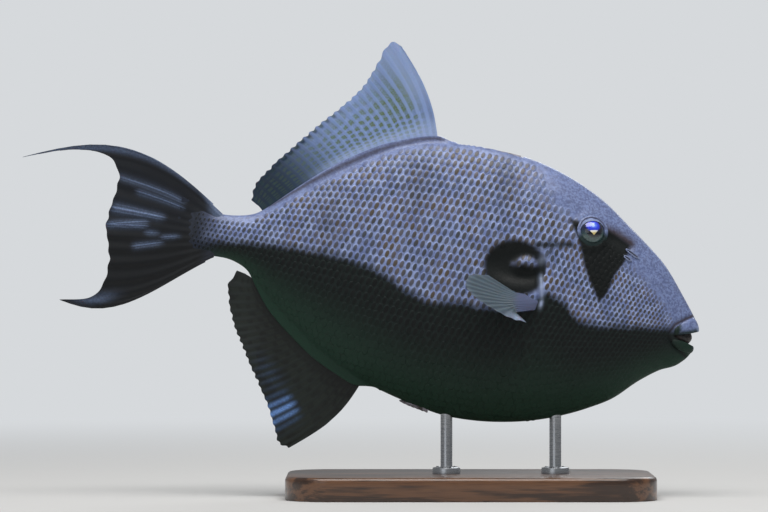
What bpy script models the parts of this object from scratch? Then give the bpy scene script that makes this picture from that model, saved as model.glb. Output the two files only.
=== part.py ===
"""Grey triggerfish, life size, as a still museum model on a plain display stand.

The fish is modelled in its own frame, in millimetres: x runs forward along the body and is 0
at the tip of the snout, z is up and y is across, with the right flank at negative y.
An empty then pitches the whole fish head down and lifts it to its place over the stand.
"""
import math

import bmesh
import bpy
from mathutils import Matrix, Vector

# Driving dimensions of the fish, in millimetres and degrees.
MM = 0.001
BODY_LENGTH = 335.0
PITCH = 11.17
SNOUT_X = 155.7
SNOUT_Z = 114.9
GAP = 0.3

# Driving dimensions of the stand.
BASE_LENGTH = 250.0
BASE_WIDTH = 130.0
BASE_HEIGHT = 16.0
BASE_CORNER = 30.0
BASE_CHAMFER = 3.0
ROD_RADIUS = 4.0
ROD_SIDES = 20
ROD_FLANGE_RADIUS = 9.5
ROD_FLANGE_HEIGHT = 4.0
ROD_FLANGE_BEVEL = 1.2
BASE_CORNER_STEPS = 6
ROD_PLACES = {"stand_rod_front": 58.0, "stand_rod_rear": -16.0}

# Outlines of the body in side view: distance behind the snout, then height.
BACK = ((0, 1.0), (5, 7.7), (15, 20.0), (30, 37.0), (45, 48.9), (60, 59.2), (78, 71.4), (98, 81.0),
        (120, 88.1), (145, 92.3), (170, 93.4), (190, 91.6), (204, 89.0), (231, 77.4), (253, 62.7),
        (276, 45.6), (292, 32.5), (304, 22.6), (313, 17.4), (323, 14.6), (335, 13.6))
BELLY = ((0, -14.0), (3.3, -20.6), (8, -26.2), (21.5, -34.2), (33, -43.4), (48, -58.4), (62.5, -67.8),
         (81, -77.2), (99, -84.0), (119, -89.0), (140, -91.9), (158, -92.3), (180, -89.2),
         (205, -83.6), (226, -77.2), (242, -70.2), (257, -61.8), (269, -53.6), (282, -44.8),
         (293, -36.4), (302, -27.8), (310, -20.8), (320, -16.8), (335, -16.4))
# Height of the widest line of the flank, and the half width there.
WIDEST = ((0, -5.5), (18, -4.0), (40, -4.5), (94, -11.0), (150, -15.5), (178, -15.0), (207, -9.5),
          (241, -2.5), (276, -0.5), (305, -1.0), (335, -1.6))
HALF_WIDTH = ((0, 3.4), (1.5, 5.2), (5, 7.4), (12, 9.8), (20, 12.0), (35, 16.2), (60, 21.4), (86, 25.6),
              (110, 29.0), (130, 30.2), (160, 29.6), (200, 26.0), (240, 20.0), (275, 13.6), (300, 9.2),
              (320, 7.0), (335, 6.2))
# How pointed the section is above and below the widest line; 1 is an ellipse.
BACK_TAPER = ((0, 1.0), (30, 1.15), (80, 1.3), (140, 1.15), (335, 1.05))
BELLY_TAPER = ((0, 1.0), (60, 1.1), (120, 1.2), (220, 1.2), (335, 1.05))
# Low scaly sheaths that carry the soft dorsal and the anal fin.
DORSAL_SHEATH = ((0, 0), (184, 0), (190, 0.8), (197, 3.6), (206, 4.4), (222, 5.0), (242, 6.8), (266, 7.0),
                 (288, 4.2), (303, 1.6), (311, 0), (335, 0))
ANAL_SHEATH = ((0, 0), (208, 0), (214, 1.8), (220, 4.6), (238, 6.2), (256, 7.4), (276, 7.4), (292, 5.6),
               (301, 3.0), (309, 0), (335, 0))
SHEATH_HALF = 1.7
SHEATH_FOOT = 1.1
# Shares that round the back and belly lines where no sheath stands on them.
EDGE_SHARE = 0.6
FOOT_SHARE = 0.8
EDGE_ROUND = 0.45
CREASE_ANGLE = 40.0

# Runs of lofted sections: from, to and how many steps.
SECTION_RUNS = ((0, 1.4, 2), (1.4, 21, 9), (21, 60, 8), (60, 104, 9), (104, 140, 8), (140, 186, 6),
                (186, 312, 16), (312, 335, 3))
FLANK_COLUMNS = 19
SECTION_SAMPLES = 72

# The cuts that part head, trunk and tail: a point on each and how far it leans back with height.
GILL_CUT = (-112.3, 4.0, 0.13)
TAIL_CUT = (-296.0, 0.0, -0.06)

# The eye and the ring of skin round it.
EYE_X = -84.6
EYE_Z = 50.7
EYE_RADIUS = 9.6
EYE_INSET = 4.6
EYE_RINGS = 9
EYE_AROUND = 18
LID_RADIUS = 9.0
LID_THICKNESS = 1.6
LID_WIDTH = 1.9
LID_RISE = 0.2
LID_AROUND = 20
LID_SIDES = 6
SLOPE_STEP = 2.0

# The open mouth in side view, lip to corner to lip, and its lip folds.
MOUTH_UPPER = ((9.0, 5.4), (1.2, -0.6), (-4.1, -4.0), (-11.0, -7.3))
MOUTH_CORNER = (-17.0, -8.2)
MOUTH_LOWER = ((-10.6, -10.4), (-5.2, -12.4), (0.4, -13.6), (9.0, -14.6))
MOUTH_HALF = 20.0
UPPER_FOLD = ((-4.6, 8.0), (-11.0, 4.0), (-16.8, -0.6), (-20.0, -6.5))
LOWER_FOLD = ((-5.6, -20.6), (-11.2, -16.9), (-16.6, -13.6), (-20.0, -9.5))
FOLD_DEPTH = 1.0
FOLD_WIDTH = 1.6
# Middle lines of the lips in side view: at the corner of the mouth, then at the front.
UPPER_LIP = ((-16.4, -4.4), (-3.2, 1.6))
LOWER_LIP = ((-16.4, -11.4), (-2.6, -16.6))
LIP_HEIGHTS = (2.2, 3.9)
LIP_DEPTHS = (1.9, 2.8)
LIP_SINK = 1.3
LIP_STEPS = 7
LIP_SIDES = 10

# Rear edge of the gill cover, the shoulder bosses behind it and the hollow round them.
GILL_EDGE = ((-115.4, 29.0), (-114.4, 17.5), (-113.0, 7.0), (-111.6, -3.0), (-108.6, -9.0))
GILL_RIDGE_RADII = (1.0, 2.3)
GILL_RIDGE_SINK = 0.8
GILL_RIDGE_SIDES = 8
GILL_AHEAD = 1.8
GILL_STEPS = 9
BOSSES = (((-123.4, 23.0), (7.0, 4.4, 4.6)), ((-131.4, 17.8), (3.6, 2.6, 3.0)))
BOSS_SINK = 0.2
BOSS_RINGS = 7
BOSS_AROUND = 12
HOLLOW_PLACE = (-131.0, 19.0)
HOLLOW_REACH = (21.0, 12.5)
HOLLOW_DEPTH = 4.6

# The groove in front of the eye and the two nostrils ahead of it.
GROOVE_ENDS = ((-72.5, 45.2), (-59.0, 41.4))
GROOVE_RADII = (2.9, 3.6, 3.6, 2.5)
GROOVE_RISE = 2.0
GROOVE_SIDES = 10
NOSTRILS = ((-58.6, 44.3), (-54.2, 39.9))
NOSTRIL_RADII = (3.0, 2.2, 0.9)
NOSTRIL_SLOPE = 33.0
NOSTRIL_RISE = 0.3
NOSTRIL_RINGS = 5
NOSTRIL_AROUND = 8

# Soft dorsal and anal fins: share of the base, then the point where that ray ends.
DORSAL_BASE = (199.5, 306.5)
DORSAL_EDGE = ((0.0, -240.5, 151.6), (0.045, -245.8, 147.6), (0.11, -249.4, 135.0), (0.22, -255.2, 119.0),
               (0.36, -266.0, 103.0), (0.52, -280.6, 85.8), (0.7, -296.4, 65.4), (0.85, -309.4, 47.2),
               (0.95, -315.6, 34.6), (1.0, -315.4, 26.4))
DORSAL_BOW = ((0.0, 7.4), (0.3, 3.4), (0.7, 1.6), (1.0, 1.0))
DORSAL_RAYS = 27
ANAL_BASE = (219.0, 304.5)
ANAL_EDGE = ((0.0, -258.0, -134.0), (0.06, -265.0, -132.4), (0.14, -269.6, -123.6), (0.28, -278.6, -107.0),
             (0.45, -290.6, -90.0), (0.62, -302.6, -72.4), (0.78, -312.6, -56.0), (0.9, -318.4, -40.4),
             (0.97, -319.6, -30.0), (1.0, -316.0, -22.6))
ANAL_BOW = ((0.0, 6.4), (0.3, 3.4), (0.7, 1.6), (1.0, 2.0))
ANAL_RAYS = 24
FIN_ROWS = 5
MEMBRANE_HALF = (0.95, 0.3)
RAY_RISE = (0.5, 0.3)
RAY_SHARE = 0.3
EDGE_NOTCH = 0.9
# Side sway of the two fins, and the part of a wave that it follows along the base.
DORSAL_SWAY = 3.0
ANAL_SWAY = -3.0
SWAY_WAVE = (0.2, 1.7)

# Tail fin: share of its spread, then the point where that ray ends and how far the ray bows.
CAUDAL_START = BODY_LENGTH + GAP
CAUDAL_ROOT = (14.4, -17.6)
CAUDAL_EDGE = ((0.0, -474.4, 24.7), (0.03, -452.0, 33.6), (0.07, -431.0, 38.2), (0.11, -417.6, 37.0),
               (0.16, -409.6, 30.0), (0.25, -407.2, 19.0), (0.4, -409.0, 2.0), (0.5, -409.6, -9.0),
               (0.62, -405.6, -21.4), (0.76, -402.6, -38.0), (0.86, -404.6, -52.0), (0.93, -411.0, -60.0),
               (1.0, -430.4, -65.2))
CAUDAL_BOW = ((0.0, 25.0), (0.07, 12.0), (0.16, 5.4), (0.5, 0.0), (0.8, -5.0), (0.93, -10.0), (1.0, -16.0))
CAUDAL_LATE = ((0.0, 1.0), (0.5, 1.0), (1.0, 1.3))
CAUDAL_LOBES = {"caudal_fin_upper": (0.0, 0.3), "caudal_fin_middle": (0.3, 0.66),
                "caudal_fin_lower": (0.66, 1.0)}
# Where the drawn-out tips of the two outer lobes are parted from them.
CAUDAL_TIP_CUTS = {"caudal_fin_upper": ("caudal_tip_upper", (-427.0, 38.0, 0.1)),
                   "caudal_fin_lower": ("caudal_tip_lower", (-412.0, -62.0, 0.0))}
CAUDAL_SEAM = 0.004
CAUDAL_LOBE_RAYS = 4
CAUDAL_ROWS = 9
CAUDAL_ROW_EASE = 1.15
CAUDAL_SWAY = 2.5
CAUDAL_SWAY_LEAD = 0.3
CAUDAL_FLESH = 0.17
CAUDAL_FLESH_HALF = 4.6
CAUDAL_FLESH_ROUND = 0.6
CAUDAL_MEMBRANE_HALF = (1.0, 0.3)
CAUDAL_RAY_RISE = (0.2, 0.35)

# Pectoral fin in side view: its root, the end of its fleshy base and the ends of its rays.
PECTORAL_ROOT = ((0.0, -113.0, -0.6), (1.0, -113.2, -9.4))
PECTORAL_KNUCKLE = ((0.0, -128.4, -0.6), (0.5, -129.2, -7.0), (1.0, -126.0, -13.4))
PECTORAL_EDGE = ((0.0, -148.6, 7.4), (0.1, -158.6, 6.4), (0.24, -162.6, 1.6), (0.42, -160.4, -4.8),
                 (0.58, -151.2, -10.4), (0.74, -139.6, -14.6), (0.88, -127.0, -18.2),
                 (1.0, -117.4, -18.6))
PECTORAL_OUT = 31.0
PECTORAL_LEAN = 34.0
PECTORAL_SINK = 2.6
PECTORAL_FLESH = 0.3
PECTORAL_RAYS = 13
PECTORAL_ROWS = 5
PECTORAL_CUP = 2.6
PECTORAL_FLESH_HALF = 2.6
PECTORAL_FLESH_FADE = 0.42
PECTORAL_HALF = (0.8, 0.3)
PECTORAL_RAY_RISE = 0.3
PECTORAL_NOTCH_SHARE = 0.975

# Folded spines of the first dorsal fin and the groove on the nape that takes them.
SPINE_GROOVE = (139.5, 187.0)
SPINE_GROOVE_HALF = 2.3
SPINE_GROOVE_DEPTH = 4.6
SPINE_RUNS = ((141.0, 183.0, 1.7, 3.9), (158.0, 184.0, 1.2, 2.6), (172.0, 184.6, 0.9, 1.9))
SPINE_STEPS = 8
SPINE_SHOULDER = 0.6
SPINE_TIP_WIDTH = 0.3
SPINE_TIP_HEIGHT = 0.4

# Pelvic spine under the belly.
PELVIC_RUN = (170.0, 190.5)
PELVIC_RADII = (2.5, 1.2)
PELVIC_SINKS = (1.2, -0.6)
PELVIC_SIDES = 8
PELVIC_STEPS = 6

# Colours (linear), roughness and metallic value of each sub-part.
FINISHES = {
    "skin_grey": ((0.22, 0.22, 0.27), 0.42, 0.0),
    "skin_head": ((0.25, 0.24, 0.30), 0.42, 0.0),
    "skin_tail": ((0.19, 0.19, 0.24), 0.45, 0.0),
    "fin_pale": ((0.36, 0.38, 0.52), 0.38, 0.0),
    "fin_dark": ((0.11, 0.10, 0.11), 0.42, 0.0),
    "fin_caudal": ((0.12, 0.12, 0.16), 0.42, 0.0),
    "fin_pectoral": ((0.45, 0.48, 0.50), 0.35, 0.0),
    "eye_blue": ((0.05, 0.09, 0.35), 0.08, 0.0),
    "spine_horn": ((0.16, 0.15, 0.15), 0.5, 0.0),
    "base_wood": ((0.09, 0.05, 0.03), 0.35, 0.0),
    "rod_steel": ((0.60, 0.61, 0.62), 0.28, 1.0),
}


def smooth_curve(points):
    """Return a function through (place, value, ...) rows, in cubic pieces that meet smoothly."""
    places = [row[0] for row in points]
    values = [row[1:] for row in points]
    gaps = [b - a for a, b in zip(places, places[1:])]
    slopes = []
    for start, end, gap in zip(values, values[1:], gaps):
        slopes.append([(b - a) / gap for a, b in zip(start, end)])
    tangents = [slopes[0]]
    for i in range(1, len(places) - 1):
        whole = gaps[i - 1] + gaps[i]
        tangents.append([(before * gaps[i] + after * gaps[i - 1]) / whole
                         for before, after in zip(slopes[i - 1], slopes[i])])
    tangents.append(slopes[-1])

    def value(place):
        place = min(max(place, places[0]), places[-1])
        i = max(k for k in range(len(gaps)) if places[k] <= place)
        t = (place - places[i]) / gaps[i]
        ease = t * t * (3 - 2 * t)
        out = []
        for a, b, da, db in zip(values[i], values[i + 1], tangents[i], tangents[i + 1]):
            bend = gaps[i] * t * (1 - t) * (da * (1 - t) - db * t)
            out.append(a + (b - a) * ease + bend)
        return out[0] if len(out) == 1 else out

    return value


def mixed(ends, share):
    """Return the value between two ends at a share from 0 to 1."""
    return ends[0] + (ends[1] - ends[0]) * share


back_height = smooth_curve(BACK)
belly_height = smooth_curve(BELLY)
widest_height = smooth_curve(WIDEST)
half_width = smooth_curve(HALF_WIDTH)
back_taper = smooth_curve(BACK_TAPER)
belly_taper = smooth_curve(BELLY_TAPER)
dorsal_sheath = smooth_curve(DORSAL_SHEATH)
anal_sheath = smooth_curve(ANAL_SHEATH)


def distance_to_path(x, z, path):
    """Return how far a point of the side view is from a path of straight pieces."""
    here = Vector((x, z))
    nearest = None
    for start, end in zip(path, path[1:]):
        a = Vector(start)
        along = Vector(end) - a
        share = min(max((here - a).dot(along) / along.length_squared, 0.0), 1.0)
        away = (here - a - along * share).length
        nearest = away if nearest is None else min(nearest, away)
    return nearest


def bell(value):
    """Return a smooth bump that is 1 at 0 and fades out by about 2."""
    return math.exp(-value * value)


def relief(x, z):
    """Return how far the flank stands out of, or sinks below, its plain section."""
    hollow_x = (x - HOLLOW_PLACE[0]) / HOLLOW_REACH[0]
    hollow_z = (z - HOLLOW_PLACE[1]) / HOLLOW_REACH[1]
    rise = -HOLLOW_DEPTH * bell(math.hypot(hollow_x, hollow_z) ** 2)
    upper = distance_to_path(x, z, UPPER_FOLD)
    lower = distance_to_path(x, z, LOWER_FOLD)
    rise -= FOLD_DEPTH * (bell(upper / FOLD_WIDTH) + bell(lower / FOLD_WIDTH))
    return rise


def section_point(behind, angle):
    """Return (y, z) on the right half of the section, angle 90 at the back, -90 at the belly."""
    middle = widest_height(behind)
    reach = back_height(behind) - middle if angle >= 0 else middle - belly_height(behind)
    taper = back_taper(behind) if angle >= 0 else belly_taper(behind)
    turn = math.radians(angle)
    y = half_width(behind) * max(math.cos(turn), 0.0) ** taper
    z = middle + reach * math.sin(turn)
    return y + relief(-behind, z) * math.cos(turn), z


def half_section(behind):
    """Return the right half of a section, top to bottom, spaced evenly along its length."""
    samples = []
    for k in range(SECTION_SAMPLES + 1):
        y, z = section_point(behind, 90.0 - 180.0 * k / SECTION_SAMPLES)
        samples.append((max(y, 0.0), z))
    foot = min(SHEATH_HALF + SHEATH_FOOT, FOOT_SHARE * half_width(behind))
    kept = [p for p in samples if p[0] > foot]
    lengths = [0.0]
    for a, b in zip(kept, kept[1:]):
        lengths.append(lengths[-1] + math.dist(a, b))
    row = []
    for k in range(FLANK_COLUMNS):
        goal = lengths[-1] * k / (FLANK_COLUMNS - 1)
        i = max(j for j in range(len(kept) - 1) if lengths[j] <= goal or j == 0)
        share = (goal - lengths[i]) / (lengths[i + 1] - lengths[i])
        row.append((mixed((kept[i][0], kept[i + 1][0]), share), mixed((kept[i][1], kept[i + 1][1]), share)))
    return row


def closed_section(behind):
    """Return one closed section: the back's ridge, one flank, the belly's ridge, other flank."""
    flank = half_section(behind)
    top = back_height(behind)
    low = belly_height(behind)
    crest = max(dorsal_sheath(behind), 0.0)
    keel = max(anal_sheath(behind), 0.0)
    edge = min(SHEATH_HALF, EDGE_SHARE * flank[0][0])
    top_edge = mixed((mixed((top, flank[0][1]), EDGE_ROUND), top + crest), min(crest, 1.0))
    low_edge = mixed((mixed((low, flank[-1][1]), EDGE_ROUND), low - keel), min(keel, 1.0))
    right = [(-edge, top_edge)] + [(-y, z) for y, z in flank] + [(-edge, low_edge)]
    left = [(-y, z) for y, z in reversed(right)]
    return [(0.0, top + crest)] + right + [(0.0, low - keel)] + left


def sections():
    """Return the distances behind the snout at which the body is sectioned."""
    places = [0.0]
    for start, end, steps in SECTION_RUNS:
        places += [mixed((start, end), (k + 1) / steps) for k in range(steps)]
    return places


def new_object(name, verts, faces, material):
    """Make a named object from points in millimetres, with outward faces and smooth shading."""
    mesh = bpy.data.meshes.new(name)
    mesh.from_pydata([Vector(v) * MM for v in verts], [], faces)
    work = bmesh.new()
    work.from_mesh(mesh)
    bmesh.ops.recalc_face_normals(work, faces=work.faces)
    work.to_mesh(mesh)
    work.free()
    obj = bpy.data.objects.new(name, mesh)
    bpy.context.scene.collection.objects.link(obj)
    if material:
        finish(obj, material)
    return obj


def finish(obj, material):
    """Give an object its material and smooth shading with crisp edges."""
    obj.data.materials.clear()
    obj.data.materials.append(materials[material])
    obj.data.shade_smooth()
    obj.data.set_sharp_from_angle(angle=math.radians(CREASE_ANGLE))


def make_material(name, colour, roughness, metallic):
    """Make a plain Principled material."""
    material = bpy.data.materials.new(name)
    material.use_nodes = True
    shader = material.node_tree.nodes["Principled BSDF"]
    shader.inputs["Base Color"].default_value = (*colour, 1.0)
    shader.inputs["Roughness"].default_value = roughness
    shader.inputs["Metallic"].default_value = metallic
    return material


def body_mesh():
    """Return the points and faces of the whole body from snout to tail root."""
    verts = []
    faces = []
    rings = [closed_section(behind) for behind in sections()]
    around = len(rings[0])
    for behind, ring in zip(sections(), rings):
        verts += [(-behind, y, z) for y, z in ring]
    for i in range(len(rings) - 1):
        for k in range(around):
            a = i * around + k
            b = i * around + (k + 1) % around
            faces += [(a, b, b + around), (a, b + around, a + around)]
    faces.append(tuple(range(around)))
    faces.append(tuple(range((len(rings) - 1) * around, len(rings) * around)))
    return verts, faces


def keep_side(obj, cut, ahead):
    """Trim an object to the part ahead of or behind a leaning plane, half a gap clear of it."""
    x, z, lean = cut
    normal = Vector((1.0, 0.0, lean)).normalized()
    sign = 1.0 if ahead else -1.0
    point = (Vector((x, 0.0, z)) + normal * sign * GAP / 2) * MM
    work = bmesh.new()
    work.from_mesh(obj.data)
    bmesh.ops.bisect_plane(work, geom=work.verts[:] + work.edges[:] + work.faces[:], dist=1e-7,
                           plane_co=point, plane_no=normal, clear_outer=not ahead, clear_inner=ahead)
    rim = [edge for edge in work.edges if edge.is_boundary]
    bmesh.ops.contextual_create(work, geom=rim)
    bmesh.ops.recalc_face_normals(work, faces=work.faces)
    work.to_mesh(obj.data)
    work.free()


def keep_largest(obj):
    """Keep only an object's largest closed surface."""
    work = bmesh.new()
    work.from_mesh(obj.data)
    left = set(work.verts)
    groups = []
    while left:
        group = {left.pop()}
        front = list(group)
        while front:
            for edge in front.pop().link_edges:
                for vert in edge.verts:
                    if vert in left:
                        left.discard(vert)
                        group.add(vert)
                        front.append(vert)
        groups.append(group)
    largest = max(groups, key=len)
    bmesh.ops.delete(work, geom=[v for v in work.verts if v not in largest], context="VERTS")
    work.to_mesh(obj.data)
    work.free()


def combine(obj, others, operation):
    """Join other closed objects to an object, or cut them from it, then remove the others."""
    group = bpy.data.collections.new(obj.name + "_pieces")
    bpy.context.scene.collection.children.link(group)
    for other in others:
        bpy.context.scene.collection.objects.unlink(other)
        group.objects.link(other)
    modifier = obj.modifiers.new("combine", "BOOLEAN")
    modifier.operation = operation
    modifier.operand_type = "COLLECTION"
    modifier.collection = group
    modifier.solver = "EXACT"
    result = bpy.data.meshes.new_from_object(obj.evaluated_get(bpy.context.evaluated_depsgraph_get()))
    obj.modifiers.clear()
    old = obj.data
    obj.data = result
    bpy.data.meshes.remove(old)
    for other in others:
        bpy.data.objects.remove(other)
    bpy.data.collections.remove(group)
    keep_largest(obj)


def inflated_copy(obj, amount):
    """Return a copy of an object grown by an amount in millimetres."""
    copy = bpy.data.objects.new(obj.name + "_grown", obj.data.copy())
    bpy.context.scene.collection.objects.link(copy)
    work = bmesh.new()
    work.from_mesh(copy.data)
    for vert, normal in [(v, v.normal.copy()) for v in work.verts]:
        vert.co += normal * amount * MM
    work.to_mesh(copy.data)
    work.free()
    return copy


def ball(name, centre, radii, turn, rings, around, material=None):
    """Make a closed ellipsoid at a point, its radii along x, y and z turned by a matrix."""
    verts = [(0.0, 0.0, 1.0)]
    for i in range(1, rings):
        lift = math.pi * i / rings
        for k in range(around):
            spin = 2 * math.pi * k / around
            verts.append((math.sin(lift) * math.cos(spin), math.sin(lift) * math.sin(spin), math.cos(lift)))
    verts.append((0.0, 0.0, -1.0))
    last = len(verts) - 1
    faces = []
    for k in range(around):
        n = (k + 1) % around
        faces.append((0, 1 + k, 1 + n))
        faces.append((last, last - around + n, last - around + k))
        for i in range(rings - 2):
            a = 1 + i * around
            faces.append((a + k, a + around + k, a + around + n, a + n))
    shape = Matrix.Diagonal(Vector(radii))
    placed = [Vector(centre) + turn @ (shape @ Vector(v)) for v in verts]
    return new_object(name, placed, faces, material)


def prism(name, outline, half_depth):
    """Make a closed prism whose outline lies in the side view and which runs across the body."""
    count = len(outline)
    verts = [(x, -half_depth, z) for x, z in outline] + [(x, half_depth, z) for x, z in outline]
    faces = [tuple(range(count)), tuple(range(2 * count - 1, count - 1, -1))]
    faces += [(k, (k + 1) % count, count + (k + 1) % count, count + k) for k in range(count)]
    return new_object(name, verts, faces, None)


def tube(name, path, radii, sides):
    """Make a closed tapering bar of a few sides along a path of points."""
    verts = []
    faces = []
    for i, (point, radius) in enumerate(zip(path, radii)):
        before = Vector(path[max(i - 1, 0)])
        after = Vector(path[min(i + 1, len(path) - 1)])
        along = (after - before).normalized()
        side = along.cross(Vector((0.0, 1.0, 0.0))).normalized()
        across = side.cross(along)
        for k in range(sides):
            spin = 2 * math.pi * (k + 0.5) / sides
            verts.append(Vector(point) + side * radius * math.cos(spin) + across * radius * math.sin(spin))
    for i in range(len(path) - 1):
        for k in range(sides):
            n = (k + 1) % sides
            a = i * sides
            faces.append((a + k, a + n, a + sides + n, a + sides + k))
    faces.append(tuple(range(sides)))
    faces.append(tuple(range(len(verts) - sides, len(verts))))
    return new_object(name, verts, faces, None)


def flank_y(x, z):
    """Return how far the flank is from the middle at a point of the side view."""
    behind = -x
    middle = widest_height(behind)
    reach = back_height(behind) - middle if z >= middle else middle - belly_height(behind)
    angle = math.degrees(math.asin(min(max((z - middle) / reach, -1.0), 1.0)))
    return section_point(behind, angle)[0]


def fin_columns(rays):
    """Return the shares of a fin's spread at which it has columns, and which of them are rays."""
    columns = []
    for ray in range(rays - 1):
        columns.append((ray / (rays - 1), True))
        columns.append(((ray + RAY_SHARE) / (rays - 1), False))
        columns.append(((ray + 1 - RAY_SHARE) / (rays - 1), False))
    columns.append((1.0, True))
    return columns


def blade(name, columns, rows, place, half, material):
    """Make a fin: a double sheet whose rays stand out as ridges, split alike on both faces.

    place gives a point of the middle sheet and the way it faces; half gives its half thickness.
    """
    near = []
    far = []
    for u, is_ray in columns:
        for r in range(rows + 1):
            v = r / rows
            point, facing = place(u, v, is_ray)
            offset = Vector(facing) * half(u, v, is_ray)
            near.append(Vector(point) - offset)
            far.append(Vector(point) + offset)
    verts = near + far
    shift = len(near)
    step = rows + 1
    faces = []
    for c in range(len(columns) - 1):
        for r in range(rows):
            a = c * step + r
            corners = (a, a + step, a + step + 1, a + 1)
            p, q, s, t = corners
            faces += [(p, q, s), (p, s, t)]
            faces += [(p + shift, s + shift, q + shift), (p + shift, t + shift, s + shift)]
    rim = [c * step for c in range(len(columns))]
    rim += [(len(columns) - 1) * step + r for r in range(1, step)]
    rim += [c * step + rows for c in range(len(columns) - 2, -1, -1)]
    rim += [r for r in range(rows - 1, 0, -1)]
    for a, b in zip(rim, rim[1:] + rim[:1]):
        faces += [(a, b, b + shift), (a, b + shift, a + shift)]
    return new_object(name, verts, faces, material)


def median_fin(name, base, base_height, edge_points, bow_points, rays, sway, material):
    """Make a soft fin that stands on the middle line, its rays bowed and its edge notched."""
    edge = smooth_curve(edge_points)
    bow = smooth_curve(bow_points)

    def place(u, v, is_ray):
        behind = mixed(base, u)
        root = Vector((-behind, 0.0, base_height(behind)))
        x, z = edge(u)
        tip = Vector((x, 0.0, z))
        along = tip - root
        if not is_ray:
            tip -= along.normalized() * EDGE_NOTCH
        point = root.lerp(tip, v)
        point.x += bow(u) * math.sin(math.pi * v)
        point.y = sway * math.sin(math.pi * mixed(SWAY_WAVE, u)) * v * v
        return point, (0.0, 1.0, 0.0)

    def half(u, v, is_ray):
        return mixed(MEMBRANE_HALF, v) + (mixed(RAY_RISE, v) if is_ray else 0.0)

    return blade(name, fin_columns(rays), FIN_ROWS, place, half, material)


def caudal_lobe(name, spread):
    """Make one third of the tail fin, which grows out of the cut end of the tail root."""
    edge = smooth_curve(CAUDAL_EDGE)
    bow = smooth_curve(CAUDAL_BOW)
    late = smooth_curve(CAUDAL_LATE)
    low = spread[0] + (0.0 if spread[0] == 0.0 else CAUDAL_SEAM)
    high = spread[1] - (0.0 if spread[1] == 1.0 else CAUDAL_SEAM)

    def place(u, v, is_ray):
        share = mixed((low, high), u)
        root = Vector((-CAUDAL_START, 0.0, mixed(CAUDAL_ROOT, share)))
        x, z = edge(share)
        tip = Vector((x, 0.0, z))
        if not is_ray:
            tip -= (tip - root).normalized() * EDGE_NOTCH
        out = v ** CAUDAL_ROW_EASE
        point = root.lerp(tip, out)
        point.z += bow(share) * math.sin(math.pi * out ** late(share))
        point.y = CAUDAL_SWAY * math.sin(math.pi * (share + CAUDAL_SWAY_LEAD)) * v * v
        return point, (0.0, 1.0, 0.0)

    def half(u, v, is_ray):
        share = min(max(mixed((low, high), u), 0.0), 1.0)
        flesh = CAUDAL_FLESH_HALF * math.sin(math.pi * share) ** CAUDAL_FLESH_ROUND
        thick = flesh * bell(v / CAUDAL_FLESH) + mixed(CAUDAL_MEMBRANE_HALF, v)
        return thick + (mixed(CAUDAL_RAY_RISE, v) if is_ray else 0.0)

    return blade(name, fin_columns(CAUDAL_LOBE_RAYS), CAUDAL_ROWS, place, half, "fin_caudal")


def pectoral_fin(name, side):
    """Make one side's pectoral fin; side is -1 for the right flank and 1 for the left."""
    root = smooth_curve(PECTORAL_ROOT)
    knuckle = smooth_curve(PECTORAL_KNUCKLE)
    edge = smooth_curve(PECTORAL_EDGE)
    start_x, start_z = root(0.5)
    start_y = flank_y(start_x, start_z) - PECTORAL_SINK
    outward = math.tan(math.radians(PECTORAL_OUT))
    inward = math.tan(math.radians(PECTORAL_LEAN))
    facing = Vector((outward, side, inward)).normalized()

    def place(u, v, is_ray):
        if v <= PECTORAL_FLESH:
            x, z = Vector(root(u)).lerp(Vector(knuckle(u)), v / PECTORAL_FLESH)
        else:
            share = (v - PECTORAL_FLESH) / (1 - PECTORAL_FLESH)
            share *= 1.0 if is_ray else PECTORAL_NOTCH_SHARE
            x, z = Vector(knuckle(u)).lerp(Vector(edge(u)), share)
        cup = PECTORAL_CUP * math.sin(math.pi * u) * v * v
        y = start_y + outward * (start_x - x) - inward * (z - start_z) - cup
        return (x, side * y, z), facing

    def half(u, v, is_ray):
        flesh = PECTORAL_FLESH_HALF * bell((v / PECTORAL_FLESH_FADE) ** 2)
        rise = PECTORAL_RAY_RISE if is_ray and v > PECTORAL_FLESH else 0.0
        return max(flesh, mixed(PECTORAL_HALF, v)) + rise

    return blade(name, fin_columns(PECTORAL_RAYS), PECTORAL_ROWS, place, half, "fin_pectoral")


def eye_frame(side):
    """Return an eye's centre and the way it looks, square to the flank there."""
    ahead, behind = flank_y(EYE_X + SLOPE_STEP, EYE_Z), flank_y(EYE_X - SLOPE_STEP, EYE_Z)
    above, below = flank_y(EYE_X, EYE_Z + SLOPE_STEP), flank_y(EYE_X, EYE_Z - SLOPE_STEP)
    across = (ahead - behind) / (2 * SLOPE_STEP)
    upward = (above - below) / (2 * SLOPE_STEP)
    look = Vector((-across, side, -upward)).normalized()
    surface = Vector((EYE_X, side * flank_y(EYE_X, EYE_Z), EYE_Z))
    return surface - look * EYE_INSET, look


def eyeball(name, side, grow=0.0, material=None):
    """Make an eyeball, or with grow the larger ball that cuts its socket."""
    centre, look = eye_frame(side)
    turn = look.to_track_quat("Z", "Y").to_matrix()
    radius = EYE_RADIUS + grow
    return ball(name, centre, (radius, radius, radius), turn, EYE_RINGS, EYE_AROUND, material)


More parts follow.
